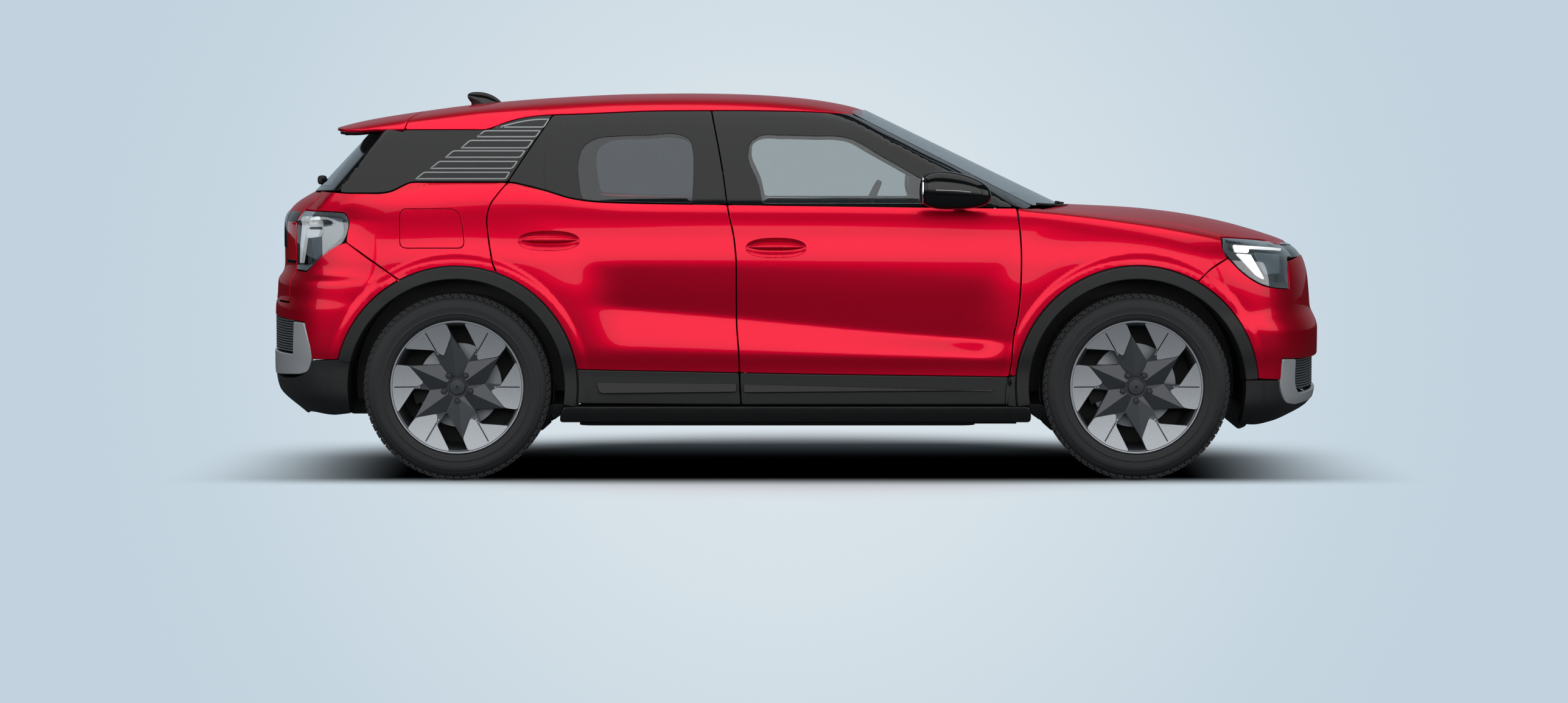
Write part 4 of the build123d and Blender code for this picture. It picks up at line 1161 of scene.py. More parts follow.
# Inner bodies of the doors, smaller all round than the skins.
front_inner = polygon(
    [(835, 1105), (872, 1000), (866, 850), (838, 640), (810, 345), (-196, 345), (-222, 900), (-250, 1105)],
    20,
)
front_upper = polygon(
    [
        (760, 1118), (600, 1230), (500, 1290), (320, 1376), (195, 1436), (-60, 1462), (-296, 1470),
        (-262, 1118),
    ],
    15,
)
rear_inner = polygon(
    [
        (-310, 1105), (-285, 930), (-270, 345), (-850, 345), (-890, 590), (-1090, 870), (-1200, 880),
        (-1205, 1105),
    ],
    20,
)
rear_upper = polygon(
    [(-312, 1118), (-352, 1465), (-700, 1462), (-955, 1448), (-1090, 1270), (-1150, 1190), (-1160, 1118)], 15,
)
both_sides(shell(front_inner, side, *DOOR_LINING), "front_{}_door_inner", TRIM, DOORS_FRONT)
both_sides(shell(rear_inner, side, *DOOR_LINING), "rear_{}_door_inner", TRIM, DOORS_REAR)
both_sides(
    shell(front_upper, pane_side, *FRAME_LINING, holes=[shrunk(front_see, -6)]),
    "front_{}_door_inner_frame",
    TRIM,
    DOORS_FRONT,
)
both_sides(
    shell(rear_upper, pane_side, *FRAME_LINING, holes=[shrunk(rear_see, -6)]),
    "rear_{}_door_inner_frame",
    TRIM,
    DOORS_REAR,
)

# Cladding on the doors, the sills and the lips round the arches.
front_clad = outline(
    clip_line(FRONT_SHUT, 314, 424, -GAP)[::-1],
    along(CLAD, lead[0][0] - 40, at_height(MIDDLE_SHUT, 438, GAP)[0], 0),
    clip_line(MIDDLE_SHUT, 314, 438, GAP),
    [at_height(MIDDLE_SHUT, 314, GAP), at_height(FRONT_SHUT, 314, -GAP)],
    corner=6,
)
both_sides(shell(front_clad, side, *CLADDING), "front_{}_door_cladding", GRAIN, DOORS_FRONT)
clad_arc = arc(REAR_WHEEL, ARCH_CUT, arch_angle(455), arch_angle(318))
rear_clad = outline(
    clip_line(MIDDLE_SHUT, 314, 440, -GAP)[::-1],
    along(CLAD, at_height(MIDDLE_SHUT, 440, -GAP)[0], clad_arc[0][0], 0),
    clad_arc,
    [clad_arc[-1], at_height(MIDDLE_SHUT, 314, -GAP)],
    corner=6,
)
both_sides(shell(rear_clad, side, *CLADDING), "rear_{}_door_cladding", GRAIN, DOORS_REAR)
sill = outline(
    *linked([(946, 306), (-948, 306)], [(-958, 280), (-966, 238)], [(952, 238)], [(952, 280), (946, 306)]),
    corner=10,
)
both_sides(shell(sill, side, -2, 46, 8, 20), "{}_sill_trim", SILL, BODY, ["sill_trims"])


def arch_lip(middle, name, first, last):
    """Black lip round one wheel arch, turned in at its edge."""
    outer = arc(middle, ARCH - 1, first, last)
    inner = arc(middle, LIP_INNER, last, first)
    loop = outline(outer, [outer[-1], inner[0]], inner, [inner[-1], outer[0]], corner=5)
    under = outline(
        arc(middle, ARCH + 9, first, last),
        [spoke(middle, ARCH + 9, last), spoke(middle, 450, last)],
        arc(middle, 450, last, first),
        [spoke(middle, 450, first), spoke(middle, ARCH + 9, first)],
        corner=5,
    )
    lip = shell(loop, side, -10, 46, 5, 12).joined(shell(under, side, 15, 40, 3, 20))
    both_sides(lip, name, GRAIN, BODY, ["wheel_arch_trims"])


arch_lip(FRONT_WHEEL, "front_{}_arch_lip", 4, 189.2)
arch_lip(REAR_WHEEL, "rear_{}_arch_lip", -9.2, 167)
foot_arc = arc(FRONT_WHEEL, ARCH_CUT, 174.5, 189.2)
wing_foot = outline(
    clip_line(FRONT_SHUT, 309, 424, GAP),
    [at_height(FRONT_SHUT, 424, GAP), foot_arc[0]],
    foot_arc,
    [foot_arc[-1], at_height(FRONT_SHUT, 309, GAP)],
    corner=4,
)
both_sides(shell(wing_foot, side, *CLADDING), "front_{}_wing_foot", GRAIN, BODY)
flaps = Solid()
for way in (1, -1):
    flap = polygon(
        [(way * x, z) for x, z in ((928, 296), (956, 242), (1040, 168), (1054, 176), (1006, 296))], 8, 10,
    )
    flaps = flaps.joined(shell(flap, side, 60, 240, 4, 40))
both_sides(flaps, "{}_wheel_deflectors", GRAIN, BODY)


# Upright plane inboard of the wheels, in which the feet of the wheelhouse liners lie.
LINER_PLANE = -450.0


def inboard(uv):
    """Places on an upright plane inboard of the wheels, by where the eye sees them."""
    places, way = sight(uv)
    return places + way * (LINER_PLANE - SIGHT_PLANE), columns(0 * places[:, 0], -1, 0)


ahead = [(1690, 380), (1700, 290), (1740, 258), (1796, 212), (1828, 226), (1850, 380)]
behind = [(-1690, 380), (-1700, 276), (-1806, 276), (-1830, 290), (-1850, 380)]
for name, foot in (("front_{}_liner_foot", ahead), ("rear_{}_liner_foot", behind)):
    both_sides(shell(polygon(foot, 6, 10), inboard, 0, 12, 3, 60), name, GRAIN, BODY)


def facet(uv):
    """The cladding's surface leaning out towards its foot."""
    points, normals = side(uv)
    lean = 7 + 24 * np.clip((408 - split(uv)[1]) / 46, 0, 1)
    return points + normals * lean[:, None], normals


rear_facet = polygon(
    [
        (-815, 404), (at_height(MIDDLE_SHUT, 400, -14)[0], 400), (at_height(MIDDLE_SHUT, 366, -14)[0], 366),
        (-800, 360),
    ],
    8,
    8,
)
front_facet = polygon(
    [(at_height(MIDDLE_SHUT, 398, 14)[0], 398), (800, 372), (at_height(MIDDLE_SHUT, 366, 14)[0], 364)], 6, 8,
)
both_sides(shaded(shell(rear_facet, facet, *FACET)), "rear_{}_cladding_facet", GRAIN, DOORS_REAR)
both_sides(shaded(shell(front_facet, facet, *FACET)), "front_{}_cladding_facet", GRAIN, DOORS_FRONT)

# Quarter panels in red, up to the tail lamps, and the black quarters above them.
quarter_top = meet(REAR_SHUT, BELT, -2, 1215)
quarter_arc = arc(REAR_WHEEL, ARCH_CUT, angle_at(-AXLE, -1222, 846), angle_at(-AXLE, -1612, 817))
tail_edge = seen(tail([(arc_at(tail, GATE_SHUT + 3, z), z) for z in (1100, 1130, 1158)])[0])
quarter = outline(
    *linked(
        clip_line(REAR_SHUT, 846, quarter_top, -GAP),
        quarter_arc[1:],
        [(-1828, 974)],
        [(-1824, 1001), (-1817, 1067), (-1834, 1096)],
        [(-1920, 1101), tail_edge[0]],
        tail_edge[1:],
        along(BELT, -1930, at_height(REAR_SHUT, quarter_top, -GAP)[0], -2),
    ),
    corner=5,
)
FLAP = [(-1612, 948), (-1612, 1110), (-1400, 1110), (-1372, 1098), (-1356, 1050), (-1347, 948)]
flap_hole = polygon(FLAP, 26, 5)
build(
    "right_quarter_panel",
    shell(quarter, side, *QUARTER_SKIN, holes=[flap_hole]),
    PAINT,
    "car_body",
)
build(
    "left_quarter_panel", shell(quarter, side, *QUARTER_SKIN).mirrored(), PAINT, "car_body",
)
flap = shell(shrunk(flap_hole, 2.2), side, 0, 8, 1.5, 12)
build("charge_flap_skin", flap, PAINT, "charge_flap", ["charge_flap"])
build("charge_bowl", shell(flap_hole, side, 40, 60, 3, 30), TRIM, "car_body")
black_top = meet(REAR_SHUT, DRIP, -2, 1480)
black_quarter = outline(
    along(DRIP, at_height(REAR_SHUT, black_top, -GAP)[0], -1586, -2),
    [(-1586, 1428), (-1594, 1423), (-1846, 1200), (-1851, 1180)],
    along(BELT, -1851, at_height(REAR_SHUT, quarter_top, -GAP)[0], 2.5),
    clip_line(REAR_SHUT, rear_low, black_top, -GAP)[::-1],
    corner=5,
)
both_sides(
    shell(black_quarter, pane_side, 0, SKIN, 1.5, 20),
    "{}_black_quarter",
    GLOSS,
    BODY,
    ["{}_body_side"],
)
pane_print = shell(
    polygon([(-1060, 1440), (-1180, 1440), (-1520, 1236), (-1205, 1236)], 10), pane_side, 16, 19, 1, 40,
)
build("quarter_print", pane_print, FRIT, "car_body", ["quarter_glasses"])

# Roof skin, headliner and the spoiler at the top of the tailgate.
roof_side = bar_arc(side(along(DRIP, -1584, 262, 1, 40))[0], ROOF_AXIS)
front_corner = roof_side[-1]
front_middle = bar_arc(from_above([(284, 0)])[0], ROOF_AXIS)[0]
front_run = [
    (front_middle[0] + (front_corner[0] - front_middle[0]) * t ** 2, front_corner[1] * t)
    for t in np.linspace(0, 1, 7)
]
rear_corner = bar_arc(side([(-1586, 1431)])[0], ROOF_AXIS)[0]
rear_shoulder = bar_arc(side([(-1520, 1497)])[0], ROOF_AXIS)[0]
rear_run = [
    rear_corner, rear_shoulder, (rear_shoulder[0] - 4, rear_shoulder[1] * 0.6), (rear_shoulder[0] - 8, 0),
]
roof_loop = even_plan(front_run, roof_side[::-1], rear_run, corner=5)
build("roof_skin", shell(roof_loop, roof, 0, 16, 2, 26), PAINT, "car_body", ["roof_panel"])
build("headliner", shell(shrunk(roof_loop, 30), roof, 24, 40, 5, 60), TRIM, "car_body")
spoiler_place = round_bar(ROOF_AXIS, cabin_bar)
spoiler_side = bar_arc(
    from_side(cabin_bar)([(-1589, 1430), (-1700, 1430), (-1800, 1430), (-1838, 1431)])[0], ROOF_AXIS,
)
tip = spoiler_side[-1]
tip_run = [tip, (-1925, tip[1] * 0.72), (-1943, tip[1] * 0.4), (-1951, 0)]
gap_run = [
    (rear_shoulder[0] - 14, 0),
    (rear_shoulder[0] - 10, rear_shoulder[1] * 0.6),
    (rear_shoulder[0] - 6, rear_shoulder[1]),
    spoiler_side[0],
]
spoiler_loop = even_plan(gap_run, spoiler_side, tip_run, corner=5)
build(
    "roof_spoiler", shell(spoiler_loop, spoiler_place, 0, SKIN, 5, 20), PAINT, "tailgate",
)
build("spoiler_underside", shell(shrunk(spoiler_loop, 6), spoiler_place, 15, 30, 4, 40), GLOSS, "tailgate")

# Bonnet, wings, lamps and bumpers at the nose.
LAMP_TOP = [(1722, 992), (1800, 988), (1900, 979), (1980, 972), (2020, 966)]
lamp_top_plan = side([(x, z + 3) for x, z in LAMP_TOP])[0][:, :2]
bar_top = arc_at(nose, LAMP_INNER, 956)
bar_top_plan = nose([(bar_top * share, 957) for share in (1, 0.8, 0.6, 0.4, 0.2, 0)])[0][:, :2]
bonnet_edge = lamp_top_plan[:3] + [0, 4]
bonnet_loop = even_plan(
    *linked(
        [(1138, 0), (1120, -250), (1068, -530), (1004, -770)],
        [(1400, -764), (1600, -744), bonnet_edge[0]],
        bonnet_edge[1:],
        bar_top_plan,
    ),
    corner=10,
)
build("bonnet_skin", shell(bonnet_loop, from_above, 0, 12, 3, 20), PAINT, "bonnet", ["bonnet"])
build("bonnet_inner", shell(shrunk(bonnet_loop, 60), from_above, 13, 36, 6, 60), STEEL, "bonnet")
bonnet_side = bar_arc(
    from_above([(1004, -773), (1400, -767), (1600, -747), lamp_top_plan[0] + [0, 1]])[0], WING_AXIS,
)
wing_arc = arc(FRONT_WHEEL, ARCH_CUT, 174.6, 60.4)


def wing_line(points):
    """Places the eye sees on the right side, as wing coordinates."""
    return list(bar_arc(side(points)[0], WING_AXIS))


belt_foot = wing_line([(at_height(FRONT_SHUT, 1108, GAP)[0], 1108), (950, 1109), (990, 1109)])
wing_loop = outline(
    wing_line(clip_line(FRONT_SHUT, 430, 1108, GAP)),
    wing_line([at_height(FRONT_SHUT, 430, GAP), wing_arc[0]]),
    wing_line(wing_arc),
    wing_line([wing_arc[-1], (1676, 860.5), (1748, 910)]),
    wing_line([(1746, 912), (1732, 935), (1718, 992)]),
    [wing_line([(1718, 992)])[0], bonnet_side[-1]],
    bonnet_side[::-1],
    [bonnet_side[0]] + belt_foot[::-1],
    corner=4,
)
both_sides(
    shell(wing_loop, wing, 0, SKIN, 2.5, 8), "front_{}_wing_skin", PAINT, BODY, ["front_wings"],
)

lamp_inner = arc_at(nose, LAMP_INNER, 930)
lamp_corner = nose_line((1990, 899))[0]
lamp_loop = outline(
    *linked(
        nose_line(*LAMP_TOP) + [(lamp_inner, 953)],
        [(lamp_inner, 900)],
        [(lamp_corner[0] * 0.85 + lamp_inner * 0.15, 899), lamp_corner],
        nose_line((1993, 840), (1997, 785)),
        nose_line((1940, 790), (1895, 801), (1800, 862), (1748, 918)),
        nose_line((1733, 935), (1722, 992)),
    ),
    corner=4,
    step=6,
)
# Injection-moulded clear polycarbonate with a hard coat: glass-clear over the lamps.
CLEAR, _, _ = material("clear_polycarbonate", "#F4F7F8", Roughness=0.0, Transmission_Weight=1.0, IOR=1.58)
# Opal acrylic light guide: an even soft white.
LED, _, _ = material(
    "white_light_guide", "#FFFFFF", Roughness=0.3, Emission_Color=linear("#FFFFFF"), Emission_Strength=0.9,
)
# Plastic with a sputtered aluminium layer behind the lenses: a grey, slightly rippled mirror.
REFLECTOR, tree, shader = material("aluminised_reflector", "#5F6468", Metallic=0.8, Roughness=0.35)
grained(tree, shader, PRISM_SIZE, 0.6, 0.3)
both_sides(
    shell(lamp_loop, nose, 0, 3, 1.2, 20), "{}_headlamp_lens", CLEAR, BODY, ["headlamps"],
)
both_sides(shell(lamp_loop, nose, 34, 52, 3, 20), "{}_headlamp_housing", GLOSS, BODY)
both_sides(shell(lamp_loop, nose, *BEZEL, holes=[shrunk(lamp_loop, 22)]), "{}_headlamp_bezel", TRIM, BODY)
LIGHTS = [
    polygon(
        [
            (1770, 980), (1880, 974), (2036, 956), (2040, 946), (1940, 955), (1846, 958), (1836, 953),
            (1840, 938), (1784, 939),
        ],
        4,
        5,
    ),
    polygon([(1788, 931), (1846, 927), (1903, 826), (1890, 820)], 4, 5),
]
guides = [shell(nose_line(*loop), nose, 8, 18, 2, 14) for loop in LIGHTS]
both_sides(guides[0].joined(guides[1]), "{}_daylight_guide", LED, BODY)
cell = shell(
    nose_line(*polygon([(1862, 945), (1984, 936), (1984, 848), (1912, 842)], 8, 6)), nose, 18, 32, 3, 14,
)
both_sides(cell, "{}_headlamp_reflector", REFLECTOR, BODY)

build("nose_bar", shell(even_strip(lamp_inner + 3, 953, 900, 3), nose, 3, 14, 2, 16), GLOSS, "car_body")

bumper_arc = arc(FRONT_WHEEL, ARCH_CUT, 59.8, 4.2)
bumper_loop = even(
    *linked(
        [(0, 897), (lamp_corner[0] * 0.8, 897), lamp_corner - [0, 2]],
        nose_line((1996, 840), (2000, 781)),
        nose_line((1940, 787), (1893, 797), (1798, 858), (1750, 908)),
        nose_line((1677, 858), (1635, 817)),
    ),
    *linked(
        nose_line(*bumper_arc), nose_line((1970, 415)), nose_line((1972, 502)),
        nose_line((2030, 502)) + [(0, 497)],
    ),
    corner=4,
)
build(
    "front_bumper_skin", shell(bumper_loop, nose, *BUMPER_SKIN), PAINT, "car_body", ["front_bumper"],
)
silver_loop = even(
    *linked(
        [(0, 352)] + nose_line((2042, 360)),
        nose_line((2032, 378), (2028, 498)),
        nose_line((1975, 498)),
        nose_line((1968, 377), (1985, 327), (2022, 312)),
        [(-300, 302), (0, 300)],
    ),
    corner=5,
)
build("front_silver_blade", shell(silver_loop, nose, *BLADE), SILVER, "car_body")
grille_edge = nose_line((2030, 430))[0][0]
build(
    "front_grille_back",
    shell(even_strip(grille_edge, 496, 356, 4, foot=354), nose, 34, 46, 3, 30),
    TRIM,
    "car_body",
)
lower_arc = arc(FRONT_WHEEL, TRIM_CUT, 4.0, -20)
lower_loop = even(
    *linked(
        [(0, 298), (-300, 300)] + nose_line((2024, 308), (1983, 322)),
        nose_line((1964, 377), (1964, 411)),
        nose_line(lower_arc[0]),
        nose_line(*lower_arc[1:]),
        nose_line((1871, 229), (1919, 240)) + [(-300, 228), (0, 226)],
    ),
    corner=6,
)
build(
    "front_lower_skin", shell(lower_loop, nose, *LOWER_TRIM), GRAIN, "car_body", ["front_lower_trim"],
)

# Tailgate, tail lamps and rear bumper.
pillar = tail_line((-1596, 1421), (-1720, 1311), (-1848, 1197), (-1853, 1184))
gate_black = even(
    *linked(
        [(0, 1412), (tail_line((-1745, 1412))[0][0], 1412), tail_line((-1620, 1426))[0], pillar[0]],
        pillar[1:],
        tail_line((-1900, 1183), (-1925, 1183)) + [(-300, 1170), (0, 1169)],
    ),
    corner=5,
)
gate_glass = even(*linked([(0, 1385), (-560, 1375)], [(-700, 1200)], [(-300, 1192), (0, 1191)]), corner=30)
build(
    "tailgate_black_frame",
    shell(gate_black, tail, 0, SKIN, 2, 18, holes=[gate_glass]),
    GLOSS,
    "tailgate",
    ["tailgate"],
)
build(
    "tailgate_glass_pane", shell(gate_glass, tail, *PANE), TINT, "tailgate", ["tailgate_glass"],
)
gate_side = [
    (arc_at(tail, GATE_SHUT - 3, z), z)
    for z in (1160, 1100, 1040, 960, 900, 851, 846, 800, 760, 718)
]
gate_red = even(
    *linked([(0, 1166), (gate_side[0][0] * 0.5, 1166), (gate_side[0][0], 1170)], gate_side[1:], [(0, 718)]),
    corner=8,
)
plate_half = arc_at(tail, 262, 800)
plate_hole = even(*straight([(0, 905), (plate_half - 40, 905), (plate_half - 24, 760), (0, 760)]), corner=18)
build(
    "tailgate_skin",
    shell(gate_red, tail, 0, SKIN, 2.5, 16, holes=[plate_hole]),
    PAINT,
    "tailgate",
)
build("tailgate_inner", shell(shrunk(gate_red, 40), tail, 46, 90, 8, 60), TRIM, "tailgate")
build("plate_recess", shell(plate_hole, tail, 26, 40, 3, 30), TRIM, "tailgate")
# Reflective sheet on pressed aluminium, left blank: off-white with a fine beaded tooth.
PLATE, tree, shader = material("blank_plate", "#E9EAE6", Roughness=0.4, Coat_Weight=0.3)
grained(tree, shader, PRINT_GRAIN, 0.05, 0.2)
build("rear_plate", shell(even_strip(-260, 885, 775, 8), tail, 20, 24, 1, 30), PLATE, "tailgate")
build(
    "tailgate_band",
    shell(even_strip(arc_at(tail, 436, 1010), 1084, 935, 6), tail, -2, 6, 2, 18),
    GLOSS,
    "tailgate",
)

# Red moulded acrylic with small prisms inside: deep red that glows a little.
RED_LENS, tree, shader = material(
    "red_lamp_lens", "#B0000E", Roughness=0.05, Coat_Weight=1.0, Emission_Color=linear("#FF0010"),
    Emission_Strength=0.05,
)
place = node(tree, "ShaderNodeTexCoord")
prisms = node(
    tree, "ShaderNodeTexVoronoi", [("Vector", place, "Object")], distance="CHEBYCHEV",
    in_Scale=1 / (PRISM_SIZE * MM), in_Randomness=0.0,
)
two_tone(tree, shader, prisms, "Distance", "#9C000C", "#BE0010")
lamp_edge = [(arc_at(tail, GATE_SHUT + 3, z), z) for z in (852, 950, 1050, 1095)]
tail_lamp = outline(
    *linked(
        tail_line((-1837, 1092), (-1821, 1067), (-1828, 1001), (-1846, 968)),
        tail_line((-1988, 858)),
        [lamp_edge[0]],
        lamp_edge[1:],
        tail_line((-1960, 1098), (-1900, 1096), (-1837, 1092)),
    ),
    corner=5,
    step=6,
)
both_sides(
    shell(tail_lamp, tail, 0, 3, 1.2, 18), "{}_tail_lamp_lens", CLEAR, BODY, ["tail_lamps"],
)
both_sides(shell(tail_lamp, tail, 34, 50, 3, 20), "{}_tail_lamp_housing", GLOSS, BODY)
both_sides(shell(tail_lamp, tail, *BEZEL, holes=[shrunk(tail_lamp, 16)]), "{}_tail_lamp_bezel", TRIM, BODY)
for name, finish, (y0, y1), (low, high), corner, depths in (
    ("{}_gate_tail_light", RED_LENS, (597, 450), (888, 1046), 6, (-3, 6)),
    ("{}_gate_lamp_frame", GLOSS, (600, 440), (874, 1090), 8, (-1, 8)),
):
    far, near = arc_at(tail, y0, 980), arc_at(tail, y1, 980)
    plate = polygon([(far, high), (near, high), (near, low), (far, low)], corner)
    both_sides(shell(plate, tail, *depths, 2, 18), name, finish, GATE)
# White moulded optic of the reversing light: milky, with small prisms.
WHITE_LENS, tree, shader = material(
    "white_lamp_optic", "#F2F5F7", Roughness=0.25, Coat_Weight=0.5, Emission_Color=linear("#FFFFFF"),
    Emission_Strength=0.25,
)
grained(tree, shader, PRISM_SIZE, 0.5, 0.3)
blocks = Solid()
for loop in (
    [(-1992, 1082), (-1936, 1080), (-1936, 1038), (-1992, 1036)],
    [(-1992, 1026), (-1938, 1026), (-1944, 996), (-1992, 990)],
    [(-2030, 1086), (-1993, 1080), (-1993, 1040), (-2018, 888), (-2028, 888), (-2012, 1050)],
):
    blocks = blocks.joined(shell(tail_line(*polygon(loop, 3, 5)), tail, 8, 24, 2, 14))
both_sides(blocks, "{}_reversing_light", WHITE_LENS, BODY)
grey_loop = polygon(
    [(-1932, 1080), (-1850, 1078), (-1846, 1000), (-1975, 888), (-1985, 992), (-1934, 1000)], 6, 6,
)
both_sides(shell(tail_line(*grey_loop), tail, 20, 32, 2, 14), "{}_tail_reflector", REFLECTOR, BODY)

rear_bumper_arc = arc(REAR_WHEEL, ARCH_CUT, 118.2, 166.6)
bumper_side = [(arc_at(tail, GATE_SHUT + 4, z), z) for z in (712, 760, 800, 846)]
rear_bumper_loop = even(
    [(0, 711), (bumper_side[0][0], 711)],
    *linked(
        bumper_side, tail_line((-1990, 853)), tail_line((-1848, 966), (-1829, 972)), tail_line((-1614, 816)),
    ),
    *linked(
        tail_line(*rear_bumper_arc), tail_line((-1969, 497)), tail_line((-1998, 650)),
        tail_line((-2044, 657)) + [(0, 662)],
    ),
    corner=4,
)
build(
    "rear_bumper_skin", shell(rear_bumper_loop, tail, *BUMPER_SKIN), PAINT, "car_body", ["rear_bumper"],
)
rear_silver = even(
    *linked(
        [(0, 503)] + tail_line((-2048, 519)),
        tail_line((-2044, 652)),
        tail_line((-2001, 646)),
        tail_line((-1973, 500), (-1990, 450), (-2020, 437)),
        [(-300, 402), (0, 400)],
    ),
    corner=5,
)
build("rear_silver_blade", shell(rear_silver, tail, *BLADE), SILVER, "car_body")
rear_grille_edge = tail_line((-2046, 590))[0][0]
build(
    "rear_grille_back",
    shell(even_strip(rear_grille_edge, 660, 506, 4, foot=505), tail, 30, 42, 3, 30),
    TRIM,
    "car_body",
)
rear_lower_arc = arc(REAR_WHEEL, TRIM_CUT, 165, 194)
rear_lower = even(
    *linked(
        [(0, 398), (-300, 400)] + tail_line((-2018, 433), (-1993, 445)),
        tail_line((-1976, 492)),
        tail_line(rear_lower_arc[0]),
        tail_line(*rear_lower_arc[1:]),
        tail_line((-1880, 268), (-1960, 280)) + [(-300, 228), (0, 226)],
    ),
    corner=6,
)
build(
    "rear_lower_skin", shell(rear_lower, tail, *LOWER_TRIM), GRAIN, "car_body", ["rear_lower_trim"],
)


# Wheels: everything is laid out about the axle, with the outer face looking to the right.
DISH_RADIUS, DISH_DEPTH = 264.0, 24.0


def dish(r):
    """How far the wheel's face stands out at a radius."""
    return 912.0 - DISH_DEPTH * (1 - np.minimum(r / DISH_RADIUS, 1.0) ** 2)


def wheel_face(uv):
    """Places on the wheel's face by (x, z) about the axle."""
    x, z = split(uv)
    r = np.hypot(x, z)
    lean = -2 * DISH_DEPTH * r / DISH_RADIUS ** 2 / np.maximum(r, 1)
    return columns(x, -dish(r), z), unit(columns(lean * x, -1, lean * z))


def wheel_points(turn, *corners):
    """Places on the wheel's face by (radius, angle), with the angles counted from turn."""
    return [spoke((0, 0), r, turn + angle) for r, angle in corners]


openings, petals, arms = [], [], Solid()
for turn in range(0, 360, 60):
    sides = straight(wheel_points(turn, (262, 99.4), (212, 95.8), (112, 67.0), (176, 62.8), (262, 83.6)))
    openings.append(outline(arc((0, 0), 262, turn + 83.6, turn + 99.4, 6), *sides, corner=6, step=6))
    sides = straight(wheel_points(turn, (263, 83.4), (176, 61.9), (136, 53.3), (211, 36.2), (263, 39.6)))
    petal = outline(arc((0, 0), 263, turn + 39.6, turn + 83.4, 6), *sides, corner=7, step=6)
    groove = polygon(wheel_points(turn, (256, 60.5), (152, 60.8), (152, 59.2), (256, 59.5)), 1, 5)
    petals.append(shell(petal, wheel_face, 0, 7, 1.2, 12, holes=[groove]))
    drops = (-3, 2, 8.5, 8.5, 3, 3)
    flat = wheel_points(turn, (46, 36), (208, 35.8), (112, 6.6), (112, 66.2), (46, 6), (46, 66))
    corners = np.array([(x, drop - float(dish(hypot(x, z))), z) for (x, z), drop in zip(flat, drops)])
    for triangle in ((0, 1, 2), (0, 2, 4), (0, 3, 1), (0, 5, 3)):
        a, b, c = corners[list(triangle)]
        normal = np.cross(b - a, c - a)
        normal = normal if normal[1] < 0 else -normal
        arms.add([a, b, c], np.tile(unit(normal[None]), (3, 1)), [(0, 1, 2)])
arms = facing_out(arms)
disc_edge = arc((0, 0), 266, 0, 360, 6)[:-1]
base = shell(disc_edge, wheel_face, 9, 34, 2, 16, holes=openings)
petals = petals[0].joined(*petals[1:])
lip = lathe([(272, 904), (272, 911), (269, 914), (265, 913.5), (263.5, 909), (263.5, 896), (268, 896)], 120)
barrel = lathe(
    [
        (266, 902), (258, 900), (250, 880), (243, 826), (240, 726), (256, 704), (270, 700), (271, 706),
        (262, 712), (247, 730), (250, 826), (258, 876), (266, 892),
    ],
)
disc = lathe(
    [
        (60, 842), (60, 860), (74, 860), (78, 800), (84, 772), (172, 772), (172, 763), (90, 763), (90, 752),
        (172, 752), (172, 744), (74, 744), (70, 800),
    ],
)
hub = lathe([(6, 800), (6, 895), (30, 893.5), (33, 890), (34, 876), (48, 880), (50, 876), (50, 800)], 60)
SIDEWALL = [
    (271, 904), (276, 913), (284, 917), (296, 919.5), (299, 921.5), (303, 921.5), (306, 920.5), (327, 922),
    (338, 920.8), (341, 918.8), (352, 915), (360, 909.5), (367, 902), (372, 894), (373.5, 888),
]
mirror_wall = [(r, 2 * TRACK - w) for r, w in SIDEWALL[::-1]]
carcass = lathe(
    SIDEWALL + mirror_wall + [(277, 716), (330, 712), (356, 740), (356, 870), (330, 898), (277, 894)], 120,
)
# Tread blocks as (inner edge, outer edge, shift round the tyre), and how many times they are repeated.
TREAD = ((-90, -62, 0), (-55, -22, 16), (-15, 15, 4), (22, 55, 20), (62, 90, 8))
TREAD_COUNT, NUT_COUNT, NUT_CIRCLE = 72, 5, 57.0
tread = boxes(*[(shift - 23, shift + 5, w0 - TRACK, w1 - TRACK, 372, 380.6) for w0, w1, shift in TREAD])
shoulder = boxes(*[(-13, 13, w - TRACK - 6, w - TRACK + 6, 365, 373) for w in (-93, 93)])
nut = at(lathe([(2, 868), (2, 896), (6, 896), (8, 894.5), (9, 868)], 6), (0, 0, -NUT_CIRCLE))
# Black discs round the nuts: painted shade in the nut holes.
nut_hole_shade = at(lathe([(1, 885), (1, 894), (13, 894), (13, 885)], 24), (0, 0, -NUT_CIRCLE))
# Brake dust shield, widened into a black disc behind the whole rim: partly a real shield, partly painted
# shade seen through the wheel's openings.
shield_and_shade = lathe([(60, 690), (60, 695), (246, 695), (256, 702), (260, 702), (250, 690)], 72)


def around(count):
    """Turn from one copy to the next when so many go round the axle."""
    return (0, 2 * pi / count, 0)


